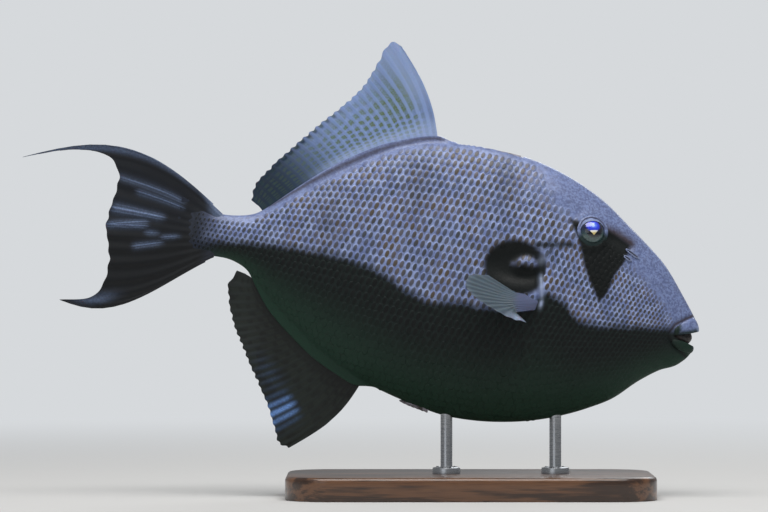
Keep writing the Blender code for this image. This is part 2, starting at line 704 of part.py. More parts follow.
def lid_ring(side):
    """Make the ring of skin that lies round an eye."""
    centre, look = eye_frame(side)
    turn = look.to_track_quat("Z", "Y").to_matrix()
    verts = []
    faces = []
    lifted = centre + look * (EYE_INSET + LID_RISE)
    for i in range(LID_AROUND):
        spin = 2 * math.pi * i / LID_AROUND
        outward = turn @ Vector((math.cos(spin), math.sin(spin), 0.0))
        for k in range(LID_SIDES):
            roll = 2 * math.pi * k / LID_SIDES
            verts.append(lifted + outward * (LID_RADIUS + LID_WIDTH * math.cos(roll))
                         + look * LID_THICKNESS * math.sin(roll))
    for i in range(LID_AROUND):
        for k in range(LID_SIDES):
            a = i * LID_SIDES
            b = (i + 1) % LID_AROUND * LID_SIDES
            n = (k + 1) % LID_SIDES
            faces.append((a + k, a + n, b + n, b + k))
    return new_object("lid_ring", verts, faces, None)


def lip(ends):
    """Make one lip: a band that bends round the snout from one corner of the mouth to the other."""
    (corner_x, corner_z), (front_x, front_z) = ends
    corner_y = flank_y(corner_x, corner_z) - LIP_SINK
    verts = []
    faces = []
    for k in range(-LIP_STEPS, LIP_STEPS + 1):
        turn = math.radians(90.0 * k / LIP_STEPS)
        share = math.cos(turn)
        middle = Vector((mixed((corner_x, front_x), share), corner_y * math.sin(turn),
                         mixed((corner_z, front_z), share)))
        outward = Vector((corner_y * share, (front_x - corner_x) * math.sin(turn), 0.0)).normalized()
        for j in range(LIP_SIDES):
            roll = 2 * math.pi * j / LIP_SIDES
            verts.append(middle + outward * mixed(LIP_DEPTHS, share) * math.cos(roll)
                         + Vector((0.0, 0.0, 1.0)) * mixed(LIP_HEIGHTS, share) * math.sin(roll))
    for i in range(2 * LIP_STEPS):
        for j in range(LIP_SIDES):
            n = (j + 1) % LIP_SIDES
            a = i * LIP_SIDES
            faces.append((a + j, a + n, a + LIP_SIDES + n, a + LIP_SIDES + j))
    faces.append(tuple(range(LIP_SIDES)))
    faces.append(tuple(range(len(verts) - LIP_SIDES, len(verts))))
    return new_object("lip", verts, faces, None)


def nostril(side, place):
    """Make the ball that cuts one nostril."""
    x, z = place
    turn = Matrix.Rotation(math.radians(NOSTRIL_SLOPE), 3, "Y")
    centre = (x, side * (flank_y(x, z) + NOSTRIL_RISE), z)
    return ball("nostril", centre, NOSTRIL_RADII, turn, NOSTRIL_RINGS, NOSTRIL_AROUND)


def groove_bar(side):
    """Make the bar that cuts the groove in front of an eye."""
    path = []
    for k in range(len(GROOVE_RADII)):
        x, z = Vector(GROOVE_ENDS[0]).lerp(Vector(GROOVE_ENDS[1]), k / (len(GROOVE_RADII) - 1))
        path.append((x, side * (flank_y(x, z) + GROOVE_RISE), z))
    return tube("groove", path, GROOVE_RADII, GROOVE_SIDES)


def gill_ridge(side):
    """Make the raised rear edge of a gill cover."""
    edge = smooth_curve([(k, *point) for k, point in enumerate(GILL_EDGE)])
    path = []
    radii = []
    for k in range(GILL_STEPS + 1):
        share = k / GILL_STEPS
        x, z = edge(share * (len(GILL_EDGE) - 1))
        path.append((x + GILL_AHEAD, side * (flank_y(x + GILL_AHEAD, z) - GILL_RIDGE_SINK), z))
        radii.append(mixed(GILL_RIDGE_RADII, math.sqrt(abs(math.sin(math.pi * share)))))
    return tube("gill_ridge", path, radii, GILL_RIDGE_SIDES)


def first_spines():
    """Make the three spines of the first dorsal fin, folded down in their groove."""
    pieces = []
    floor = SPINE_GROOVE_DEPTH - GAP
    for start, end, radius, height in SPINE_RUNS:
        verts = []
        faces = []
        for k in range(SPINE_STEPS + 1):
            share = k / SPINE_STEPS
            behind = mixed((start, end), share)
            low = back_height(behind) - floor
            wide = radius * mixed((1.0, SPINE_TIP_WIDTH), share)
            high = height * mixed((1.0, SPINE_TIP_HEIGHT), share)
            shoulder = low + SPINE_SHOULDER * high
            verts += [(-behind, -wide, low), (-behind, wide, low), (-behind, wide, shoulder),
                      (-behind, 0.0, low + high), (-behind, -wide, shoulder)]
        for k in range(SPINE_STEPS):
            for j in range(5):
                n = (j + 1) % 5
                faces.append((5 * k + j, 5 * k + n, 5 * k + 5 + n, 5 * k + 5 + j))
        faces.append((0, 1, 2, 3, 4))
        faces.append(tuple(5 * SPINE_STEPS + j for j in range(5)))
        pieces.append(new_object("first_dorsal_spines", verts, faces, "spine_horn"))
    first = pieces[0]
    combine(first, pieces[1:], "UNION")
    return first


def spine_groove():
    """Make the strip that cuts the groove for the folded spines."""
    verts = []
    faces = []
    steps = SPINE_STEPS
    for k in range(steps + 1):
        behind = mixed(SPINE_GROOVE, k / steps)
        low = back_height(behind) - SPINE_GROOVE_DEPTH
        high = low + 2 * SPINE_GROOVE_DEPTH
        verts += [(-behind, -SPINE_GROOVE_HALF, low), (-behind, SPINE_GROOVE_HALF, low),
                  (-behind, SPINE_GROOVE_HALF, high), (-behind, -SPINE_GROOVE_HALF, high)]
    for k in range(steps):
        for j in range(4):
            n = (j + 1) % 4
            faces.append((4 * k + j, 4 * k + n, 4 * k + 4 + n, 4 * k + 4 + j))
    faces.append((0, 1, 2, 3))
    faces.append(tuple(4 * steps + j for j in range(4)))
    return new_object("spine_groove", verts, faces, None)


def pelvic_spine():
    """Make the blunt spine that ends the pelvis, before it is cut clear of the belly."""
    path = []
    radii = []
    for k in range(PELVIC_STEPS + 1):
        share = k / PELVIC_STEPS
        behind = mixed(PELVIC_RUN, share)
        path.append((-behind, 0.0, belly_height(behind) + mixed(PELVIC_SINKS, share)))
        radii.append(mixed(PELVIC_RADII, share))
    return tube("pelvic_spine", path, radii, PELVIC_SIDES)


def rod(name, across, height):
    """Make an upright rod with a foot flange, in the world's millimetres."""
    foot = BASE_HEIGHT + GAP
    flange = foot + ROD_FLANGE_HEIGHT
    profile = ((ROD_FLANGE_RADIUS, foot), (ROD_FLANGE_RADIUS, flange - ROD_FLANGE_BEVEL),
               (ROD_FLANGE_RADIUS - ROD_FLANGE_BEVEL, flange), (ROD_RADIUS, flange), (ROD_RADIUS, height))
    verts = []
    faces = []
    for radius, z in profile:
        for k in range(ROD_SIDES):
            spin = 2 * math.pi * k / ROD_SIDES
            verts.append((across + radius * math.cos(spin), radius * math.sin(spin), z))
    for i in range(len(profile) - 1):
        for k in range(ROD_SIDES):
            n = (k + 1) % ROD_SIDES
            a = i * ROD_SIDES
            faces.append((a + k, a + n, a + ROD_SIDES + n, a + ROD_SIDES + k))
    faces.append(tuple(range(ROD_SIDES)))
    faces.append(tuple(range(len(verts) - ROD_SIDES, len(verts))))
    return new_object(name, verts, faces, "rod_steel")


def stand_base():
    """Make the flat base: a rounded oblong with its top edge chamfered."""
    levels = ((0.0, 0.0), (0.0, BASE_HEIGHT - BASE_CHAMFER), (BASE_CHAMFER, BASE_HEIGHT))
    verts = []
    for inset, z in levels:
        radius = BASE_CORNER - inset
        for quarter in range(4):
            cx = (BASE_LENGTH / 2 - BASE_CORNER) * (1 if quarter in (0, 3) else -1)
            cy = (BASE_WIDTH / 2 - BASE_CORNER) * (1 if quarter in (0, 1) else -1)
            for k in range(BASE_CORNER_STEPS + 1):
                spin = math.radians(90 * (quarter + k / BASE_CORNER_STEPS))
                verts.append((cx + radius * math.cos(spin), cy + radius * math.sin(spin), z))
    count = len(verts) // len(levels)
    faces = [tuple(range(count)), tuple(range(2 * count, 3 * count))]
    for level in range(len(levels) - 1):
        for k in range(count):
            n = (k + 1) % count
            a = level * count
            faces.append((a + k, a + n, a + count + n, a + count + k))
    return new_object("stand_base", verts, faces, "base_wood")


def build_fish():
    """Make every piece of the fish in its own frame and return them."""
    verts, faces = body_mesh()
    head = new_object("head", verts, faces, "skin_head")
    trunk = new_object("trunk", verts, faces, "skin_grey")
    tail = new_object("tail_root", verts, faces, "skin_tail")
    keep_side(head, GILL_CUT, True)
    keep_side(trunk, GILL_CUT, False)
    keep_side(trunk, TAIL_CUT, True)
    keep_side(tail, TAIL_CUT, False)

    flesh = new_object("flesh", verts, faces, None)
    sides = (-1, 1)
    added = [lip(UPPER_LIP), lip(LOWER_LIP)]
    for side in sides:
        added += [lid_ring(side), gill_ridge(side)]
    combine(head, added, "UNION")
    keep_side(head, GILL_CUT, True)
    mouth = prism("mouth", MOUTH_UPPER + (MOUTH_CORNER,) + MOUTH_LOWER, MOUTH_HALF)
    cutters = [mouth]
    for side in sides:
        cutters += [eyeball("socket", side, GAP), groove_bar(side)]
        cutters += [nostril(side, place) for place in NOSTRILS]
    combine(head, cutters, "DIFFERENCE")

    bosses = []
    for (x, z), radii in BOSSES:
        for side in sides:
            centre = (x, side * (flank_y(x, z) - BOSS_SINK), z)
            bosses.append(ball("boss", centre, radii, Matrix.Identity(3), BOSS_RINGS, BOSS_AROUND))
    combine(trunk, bosses, "UNION")
    keep_side(trunk, GILL_CUT, False)
    combine(trunk, [spine_groove()], "DIFFERENCE")

    fish = [head, trunk, tail]
    fish += [eyeball("eye_right", -1, 0.0, "eye_blue"), eyeball("eye_left", 1, 0.0, "eye_blue")]
    fish.append(first_spines())
    fish.append(median_fin("dorsal_fin", DORSAL_BASE, lambda b: back_height(b) + dorsal_sheath(b) + GAP,
                           DORSAL_EDGE, DORSAL_BOW, DORSAL_RAYS, DORSAL_SWAY, "fin_pale"))
    fish.append(median_fin("anal_fin", ANAL_BASE, lambda b: belly_height(b) - anal_sheath(b) - GAP,
                           ANAL_EDGE, ANAL_BOW, ANAL_RAYS, ANAL_SWAY, "fin_dark"))
    for name, spread in CAUDAL_LOBES.items():
        lobe = caudal_lobe(name, spread)
        if name in CAUDAL_TIP_CUTS:
            tip_name, cut = CAUDAL_TIP_CUTS[name]
            tip = caudal_lobe(tip_name, spread)
            keep_side(tip, cut, False)
            keep_side(lobe, cut, True)
            fish.append(tip)
        fish.append(lobe)
    fish += [pectoral_fin("pectoral_fin_right", -1), pectoral_fin("pectoral_fin_left", 1)]
    fish.append(pelvic_spine())
    finish(fish[-1], "spine_horn")
    rooted = fish[-3:]
    for piece in rooted:
        combine(piece, [inflated_copy(flesh, GAP)], "DIFFERENCE")
    return fish, flesh


def build():
    """Build the fish and its stand, and set both in the world's frame."""
    fish, flesh = build_fish()
    pose = bpy.data.objects.new("fish_pose", None)
    bpy.context.scene.collection.objects.link(pose)
    pose.location = (SNOUT_X * MM, 0.0, SNOUT_Z * MM)
    pose.rotation_euler = (0.0, math.radians(PITCH), 0.0)
    for piece in fish + [flesh]:
        piece.parent = pose
    bpy.context.view_layer.update()
    belly = inflated_copy(flesh, GAP)
    belly.data.transform(flesh.matrix_world)
    bpy.data.objects.remove(flesh)
    stand_base()
    for name, across in ROD_PLACES.items():
        post = rod(name, across, SNOUT_Z)
        copy = bpy.data.objects.new("belly_copy", belly.data)
        bpy.context.scene.collection.objects.link(copy)
        combine(post, [copy], "DIFFERENCE")
    bpy.data.objects.remove(belly)


for old in list(bpy.data.objects):
    bpy.data.objects.remove(old)
materials = {name: make_material(name, *values) for name, values in FINISHES.items()}
build()
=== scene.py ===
"""Looks of a life-size grey triggerfish display model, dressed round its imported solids.

The fish is worked out in its own frame, in millimetres: x runs forward and is 0 at the tip of
the snout, z is up and y is across, with the right flank at negative y. Each mesh is then put in
its place in the world, in metres, so every finished object sits at the origin.
"""
import logging
import math
from collections.abc import Callable, Sequence
from dataclasses import dataclass
from enum import Enum

import bmesh
import bpy
import numpy as np
from mathutils import Matrix, Vector


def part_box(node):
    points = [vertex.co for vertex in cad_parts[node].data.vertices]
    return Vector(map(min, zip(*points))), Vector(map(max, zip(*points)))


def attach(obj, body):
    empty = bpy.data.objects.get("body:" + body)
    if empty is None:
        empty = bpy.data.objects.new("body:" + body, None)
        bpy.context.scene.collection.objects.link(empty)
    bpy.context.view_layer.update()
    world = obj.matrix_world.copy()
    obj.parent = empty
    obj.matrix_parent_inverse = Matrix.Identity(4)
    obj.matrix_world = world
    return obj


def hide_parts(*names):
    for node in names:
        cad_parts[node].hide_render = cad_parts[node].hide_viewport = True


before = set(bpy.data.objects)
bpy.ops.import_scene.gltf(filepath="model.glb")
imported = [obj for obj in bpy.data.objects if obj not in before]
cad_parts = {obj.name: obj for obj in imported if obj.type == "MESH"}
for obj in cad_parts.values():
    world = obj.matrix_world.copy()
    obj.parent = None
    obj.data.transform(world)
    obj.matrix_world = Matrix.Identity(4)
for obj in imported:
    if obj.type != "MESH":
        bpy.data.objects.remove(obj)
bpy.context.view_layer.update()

logging.basicConfig(level=logging.INFO, format="%(name)s: %(message)s")
LOG = logging.getLogger("triggerfish")

Array = np.ndarray
Rows = Sequence[Sequence[float]]
Pair = tuple[float, float]
Place = Callable[[Array, Array], Array]
Faces = list[tuple[int, ...]]
Inputs = dict[str, object]
Piece = bpy.types.Object
Mesh = bpy.types.Mesh
Material = bpy.types.Material
Node = bpy.types.Node
Socket = bpy.types.NodeSocket
Tree = bpy.types.NodeTree

MM = 0.001
PITCH = math.radians(11.17)
SNOUT = np.array((155.7, 0.0, 114.9))
POSE = np.array(((math.cos(PITCH), 0.0, math.sin(PITCH)), (0.0, 1.0, 0.0),
                 (-math.sin(PITCH), 0.0, math.cos(PITCH))))
MIDDLE_ROW = -2.0
SOFT_CREASE = 60.0


class Side(Enum):
    """The two flanks, as the sign of y."""

    RIGHT = -1
    LEFT = 1

    @property
    def word(self) -> str:
        """Return the side's name for piece names."""
        return self.name.lower()


class Slot(Enum):
    """Material slots of the record."""

    SKIN = "skin"
    EYE = "eye"
    SPINE = "spine"
    FIN_PALE = "fin_pale"
    FIN_DARK = "fin_dark"
    BASE = "base"
    ROD = "rod"


class Mark(Enum):
    """Named shares of colour that skin and scales carry at each point."""

    # Painted shade: the lower flank, the gill hollow and under the eye, darkened as if lit from above.
    DUSK = "dusk"
    # Green tint that the painted shade takes towards the belly.
    BELLY = "belly"
    PLAIN = "plain"
    # Brown: real marks on the lid rim and the fin sheath, and painted shade in the groove, along the lip
    # folds and in the painted shadows.
    WARM = "warm"
    SADDLE = "saddle"
    # Pale tone: painted highlights on the gill edge and the lips, and paler rims on the lids and nostrils.
    GLOW = "glow"
    TAIL = "tail"


class Curve:
    """A function through rows of (place, value, ...), in cubic pieces that meet smoothly."""

    def __init__(self, rows: Rows) -> None:
        """Store the rows and work out a slope at each.

        Args:
            rows: places in rising order, each with one or more values.
        """
        data = np.array(rows, float)
        self.places = data[:, 0]
        self.values = data[:, 1:]
        gaps = np.diff(self.places)[:, None]
        slopes = np.diff(self.values, axis=0) / gaps
        self.slopes = np.empty_like(self.values)
        self.slopes[0], self.slopes[-1] = slopes[0], slopes[-1]
        self.slopes[1:-1] = (slopes[:-1] * gaps[1:] + slopes[1:] * gaps[:-1]) / (gaps[:-1] + gaps[1:])

    def __call__(self, place: Array | float) -> Array:
        """Return the value or values at one or more places.

        Args:
            place: where to read the curve; it is held within the rows' range.

        Returns:
            An array of the same shape, with a last axis for the values where there are several.
        """
        place = np.clip(np.asarray(place, float), self.places[0], self.places[-1])
        i = np.clip(np.searchsorted(self.places, place, side="right") - 1, 0, len(self.places) - 2)
        gap = self.places[i + 1] - self.places[i]
        t = ((place - self.places[i]) / gap)[..., None]
        gap = gap[..., None]
        start, end = self.values[i], self.values[i + 1]
        bend = gap * t * (1 - t) * (self.slopes[i] * (1 - t) - self.slopes[i + 1] * t)
        out = start + (end - start) * t * t * (3 - 2 * t) + bend
        return out[..., 0] if out.shape[-1] == 1 else out


def mixed(start: Array | float, end: Array | float, share: Array | float) -> Array | float:
    """Return the value between two ends at a share from 0 to 1."""
    return start + (end - start) * share


def bell(value: Array) -> Array:
    """Return a smooth bump that is 1 at 0 and fades out by about 2."""
    return np.exp(-np.square(value))


def ease(value: Array, start: float | Array, end: float | Array) -> Array:
    """Return 0 before start, 1 after end and a smooth rise between; start may be the larger."""
    share = np.clip((value - start) / (end - start), 0.0, 1.0)
    return share * share * (3 - 2 * share)


def path_distance(x: Array, z: Array, path: Rows) -> Array:
    """Return how far points of the side view are from a path of straight pieces."""
    nearest = np.full(np.shape(x), np.inf)
    for (ax, az), (bx, bz) in zip(path, path[1:]):
        dx, dz = bx - ax, bz - az
        share = np.clip(((x - ax) * dx + (z - az) * dz) / (dx * dx + dz * dz), 0.0, 1.0)
        nearest = np.minimum(nearest, np.hypot(x - ax - share * dx, z - az - share * dz))
    return nearest


def inside_depth(x: Array, z: Array, outline: Rows) -> Array:
    """Return how deep points of the side view lie inside a closed outline; negative outside."""
    closed = tuple(outline) + (outline[0],)
    crossings = np.zeros(np.shape(x), int)
    for (ax, az), (bx, bz) in zip(closed, closed[1:]):
        spans = (az > z) != (bz > z)
        crossings += spans & (x < ax + (z - az) * (bx - ax) / (bz - az if bz != az else 1.0))
    away = path_distance(x, z, closed)
    return np.where(crossings % 2 == 1, away, -away)


def to_world(points: Array) -> Array:
    """Return fish-frame points in millimetres as rows of world points in metres."""
    return (np.asarray(points, float).reshape(-1, 3) @ POSE.T + SNOUT) * MM


def to_fish(points: Array) -> Array:
    """Return world points in metres as fish-frame points in millimetres."""
    return (points / MM - SNOUT) @ POSE


def unit(vectors: Array) -> Array:
    """Return vectors at length 1."""
    return vectors / np.maximum(np.linalg.norm(vectors, axis=-1, keepdims=True), 1e-9)


def joined(x: Array | float, y: Array | float, z: Array | float) -> Array:
    """Return vectors made of three parts, each spread over the others' shape."""
    return np.stack(np.broadcast_arrays(x, y, z), axis=-1)


def oval(x: Array, z: Array, centre: Pair, radii: Pair) -> Array:
    """Return how far points of the side view are from an oval's centre; its edge is at 1."""
    return np.hypot((x - centre[0]) / radii[0], (z - centre[1]) / radii[1])


def circle(count: int) -> Array:
    """Return angles evenly round a circle."""
    return np.linspace(0.0, 2 * math.pi, count, endpoint=False)


def turned(profile: Rows, around: int, x: float = 0.0, y: float = 0.0) -> Array:
    """Return rings of points round an upright axis, one for each radius and height."""
    spin = circle(around)
    return np.concatenate([joined(x + r * np.cos(spin), y + r * np.sin(spin), z) for r, z in profile])


def tone(red: float, green: float, blue: float) -> tuple[float, float, float, float]:
    """Return a display colour, each channel from 0 to 255, as a linear colour."""
    channels = [(c / 255 / 12.92) if c <= 10.3 else ((c / 255 + 0.055) / 1.055) ** 2.4
                for c in (red, green, blue)]
    return (*channels, 1.0)


class Graph:
    """Adds and joins the nodes of one tree."""

    def __init__(self, tree: Tree) -> None:
        """Hold the tree."""
        self.tree = tree

    def fill(self, node: Node, inputs: dict) -> None:
        """Join a node's sockets, by name or number, to others, or set their values."""
        for key, value in inputs.items():
            if isinstance(value, Socket):
                self.tree.links.new(value, node.inputs[key])
            else:
                node.inputs[key].default_value = value

    def add(self, kind: str, inputs: dict | None = None, **settings: object) -> Node:
        """Add a node.

        Args:
            kind: the node's type name.
            inputs: sockets by name or number, with what feeds them.
            settings: properties of the node.

        Returns:
            The new node.
        """
        node = self.tree.nodes.new(kind)
        for key, value in settings.items():
            setattr(node, key, value)
        self.fill(node, inputs or {})
        return node

    def math(self, operation: str, *values: object, clamp: bool = False) -> Socket:
        """Return the result of a sum on one to three values."""
        inputs = dict(enumerate(values))
        return self.add("ShaderNodeMath", inputs, operation=operation, use_clamp=clamp).outputs[0]

    def line(self, value: object, slope: object, start: object) -> Socket:
        """Return a value times a slope, with a start added."""
        return self.math("MULTIPLY_ADD", value, slope, start)

    def times(self, first: object, second: object) -> Socket:
        """Return a product."""
        return self.math("MULTIPLY", first, second)

    def length(self, across: object, up: object) -> Socket:
        """Return the length of a flat vector."""
        return self.math("SQRT", self.math("ADD", self.times(across, across), self.times(up, up)))

    def mix(self, share: object, start: object, end: object, blend: str = "MIX") -> Socket:
        """Return a colour between two, or one laid over the other by a blend mode."""
        inputs = {0: share, 6: start, 7: end}
        return self.add("ShaderNodeMix", inputs, data_type="RGBA", blend_type=blend).outputs[2]

    def span(self, value: object, low: float, high: float, start: float = 0.0, end: float = 1.0) -> Socket:
        """Return a value carried smoothly from one range into another."""
        inputs = {"Value": value, "From Min": low, "From Max": high, "To Min": start, "To Max": end}
        return self.add("ShaderNodeMapRange", inputs, interpolation_type="SMOOTHSTEP").outputs[0]

    def noise(self, vector: object, scale: float, detail: float = 2.0, rough: float = 0.5) -> Socket:
        """Return soft noise from 0 to 1 at a place."""
        inputs = {"Vector": vector, "Scale": scale, "Detail": detail, "Roughness": rough}
        return self.add("ShaderNodeTexNoise", inputs).outputs["Fac"]

    def attribute(self, name: str, output: str = "Fac") -> Socket:
        """Return a named value that the mesh carries."""
        return self.add("ShaderNodeAttribute", attribute_name=name).outputs[output]

    def object_place(self) -> Socket:
        """Return the place on the object, in metres."""
        return self.add("ShaderNodeTexCoord").outputs["Object"]

    def stretched_place(self, *scale: float) -> Socket:
        """Return the place on the object, scaled along its three axes."""
        return self.add("ShaderNodeMapping", {"Vector": self.object_place(), "Scale": scale}).outputs[0]

    def bump(self, height: object, strength: float, distance: float) -> Socket:
        """Return a normal roughened by a height, whose steps are some millimetres at most."""
        inputs = {"Height": height, "Strength": strength, "Distance": distance * MM}
        return self.add("ShaderNodeBump", inputs).outputs["Normal"]

    def surface(self, colour: Socket, uneven: Socket, gloss: Pair, strength: float,
                distance: float) -> Inputs:
        """Return a shader's inputs for a colour, and a gloss and a relief that follow one pattern."""
        return {"Base Color": colour, "Roughness": self.span(uneven, 0.3, 0.7, *gloss),
                "Normal": self.bump(uneven, strength, distance)}


class Finish:
    """A finish whose material is one Principled shader."""

    name: str

    def sockets(self, graph: Graph) -> Inputs:
        """Return what feeds the shader's sockets, or their values."""
        raise NotImplementedError

    def material(self) -> Material:
        """Return the material."""
        material = bpy.data.materials.new(self.name)
        material.use_nodes = True
        graph = Graph(material.node_tree)
        graph.fill(graph.tree.nodes["Principled BSDF"], self.sockets(graph))
        return material


def new_group(name: str, inputs: dict[str, str], outputs: dict[str, str],
              kind: str = "ShaderNodeTree") -> tuple[Graph, Node, Node]:
    """Make a node group with named sockets.

    Args:
        name: the group's name.
        inputs: socket names with their types.
        outputs: socket names with their types.
        kind: shader or geometry tree.

    Returns:
        The graph and its input and output nodes.
    """
    tree = bpy.data.node_groups.new(name, kind)
    for sockets, direction in ((inputs, "INPUT"), (outputs, "OUTPUT")):
        for socket, socket_type in sockets.items():
            tree.interface.new_socket(socket, in_out=direction, socket_type=socket_type)
    graph = Graph(tree)
    return graph, graph.add("NodeGroupInput"), graph.add("NodeGroupOutput")


FLOAT = "NodeSocketFloat"
COLOUR = "NodeSocketColor"
GEOMETRY = "NodeSocketGeometry"


@dataclass(frozen=True)
class SkinTone:
    """The colours that skin and scales share, as one shader group, painted shade and painted highlights among
    them.
    """

    rim: tuple = tone(120, 136, 186)
    rim_light: tuple = tone(154, 170, 216)
    centre: tuple = tone(64, 68, 74)
    centre_brown: tuple = tone(86, 76, 62)
    smooth: tuple = tone(122, 138, 182)
    smooth_dark: tuple = tone(92, 102, 140)
    # Tones of the painted shade over scale rims and centres.
    dusk_rim: tuple = tone(22, 32, 31)
    dusk_centre: tuple = tone(10, 14, 15)
    # Greenish belly inside the painted shade: a paler belly, darkened as painted shade.
    belly: tuple = tone(30, 60, 46)
    warm: tuple = tone(58, 44, 36)
    # Tone of the painted highlights and of the paler rims.
    glow: tuple = tone(188, 204, 236)
    saddle: tuple = tone(48, 54, 72)
    tail: tuple = tone(38, 44, 58)

    def group(self) -> Tree:
        """Build the group.

        Returns:
            A group from the marks, and a share of scale centre, to a colour and a roughness.
        """
        inputs = {mark.name.title(): FLOAT for mark in Mark} | {"Centre": FLOAT}
        graph, given, result = new_group("fish_tone", inputs, {"Color": COLOUR, "Roughness": FLOAT})
        marks = given.outputs
        place = graph.object_place()
        broad = graph.span(graph.noise(place, 70.0, 3.0), 0.35, 0.65)
        fine = graph.noise(place, 620.0, 3.0, 0.6)
        net = graph.times(marks["Centre"], graph.line(marks["Plain"], -0.75, 1.0))
        patchy = graph.noise(place, 170.0, 2.0)
        rim = graph.mix(graph.span(patchy, 0.35, 0.65), self.rim, self.rim_light)
        smooth = graph.mix(graph.span(fine, 0.38, 0.62), self.smooth_dark, self.smooth)
        rim = graph.mix(graph.times(marks["Plain"], 0.9), rim, smooth)
        centre = graph.mix(broad, self.centre, self.centre_brown)
        lit = graph.mix(net, rim, centre)
        lit = graph.mix(graph.times(marks["Saddle"], 0.36), lit, self.saddle)
        # Painted shade over the lower flank, greener towards the belly.
        dusk = graph.mix(net, self.dusk_rim, self.dusk_centre)
        belly = graph.times(marks["Belly"], graph.span(fine, 0.2, 0.8, 0.65, 1.0))
        dusk = graph.mix(belly, dusk, self.belly)
        colour = graph.mix(marks["Dusk"], lit, dusk)
        # Brown turns near-black inside the painted shade, which deepens the painted shadows.
        shade = graph.mix(marks["Dusk"], self.warm, self.dusk_centre)
        colour = graph.mix(graph.times(marks["Warm"], 0.9), colour, shade)
        tail = graph.mix(net, self.tail, self.dusk_centre)
        colour = graph.mix(marks["Tail"], colour, tail)
        # Painted highlights and paler rims.
        colour = graph.mix(marks["Glow"], colour, self.glow)
        colour = graph.mix(graph.span(fine, 0.25, 0.75, 0.0, 0.22), colour, (0.5, 0.5, 0.5, 1.0), "OVERLAY")
        gloss = graph.line(marks["Dusk"], 0.2, graph.span(fine, 0.2, 0.8, 0.34, 0.52))
        graph.fill(result, {"Color": colour, "Roughness": gloss})
        return graph.tree


@dataclass(frozen=True)
class SkinFinish(Finish):
    """Moist skin with fine grains, or the scales that stand on it."""

    name: str
    tone_group: Tree
    grain_size: float = 1.1
    grain_depth: float = 0.16
    scaled: bool = False
    coat: float = 0.3

    def sockets(self, graph: Graph) -> Inputs:
        """Return the shader's inputs, reading the marks from the mesh."""
        marks = {mark.name.title(): graph.attribute(mark.value) for mark in Mark}
        place = graph.object_place()
        uneven = graph.noise(place, 900.0, 2.0)
        if self.scaled:
            plate = graph.add("ShaderNodeSeparateXYZ", {0: graph.attribute("plate", "Vector")}).outputs
            lean = graph.line(plate[1], -0.25, plate[0])
            away = graph.length(graph.times(lean, 1.3), plate[1])
            edge = graph.line(uneven, 0.3, away)
            own = graph.span(plate[2], 0.0, 1.0, 0.86, 1.0)
            marks["Centre"] = graph.times(graph.span(edge, 1.18, 0.78), own)
        else:
            marks["Centre"] = graph.span(graph.noise(place, 330.0, 1.0), 0.6, 0.3, 0.0, 0.4)
        tones = graph.add("ShaderNodeGroup", marks, node_tree=self.tone_group).outputs
        cells = graph.add("ShaderNodeTexVoronoi", {"Vector": place, "Scale": 1 / (self.grain_size * MM)},
                          feature="SMOOTH_F1")
        grain = graph.line(uneven, 0.5, graph.math("SUBTRACT", 1.0, cells.outputs["Distance"]))
        coat = graph.span(marks["Dusk"], 0.0, 1.0, self.coat, 0.2 * self.coat)
        return {"Base Color": tones["Color"], "Roughness": tones["Roughness"],
                "Normal": graph.bump(grain, 0.7, self.grain_depth), "Coat Weight": coat,
                "Coat Roughness": 0.2, "Specular IOR Level": 0.22}


@dataclass(frozen=True)
class MouthFinish(Finish):
    """Wet lining of the mouth, painted dark as the shade inside it."""

    name: str = "mouth_lining"
    light: tuple = tone(70, 58, 56)
    dark: tuple = tone(22, 22, 24)

    def sockets(self, graph: Graph) -> Inputs:
        """Return the shader's inputs."""
        folds = graph.noise(graph.object_place(), 400.0, 3.0)
        colour = graph.mix(graph.span(folds, 0.4, 0.8), self.dark, self.light)
        return graph.surface(colour, folds, (0.25, 0.5), 0.5, 0.4)


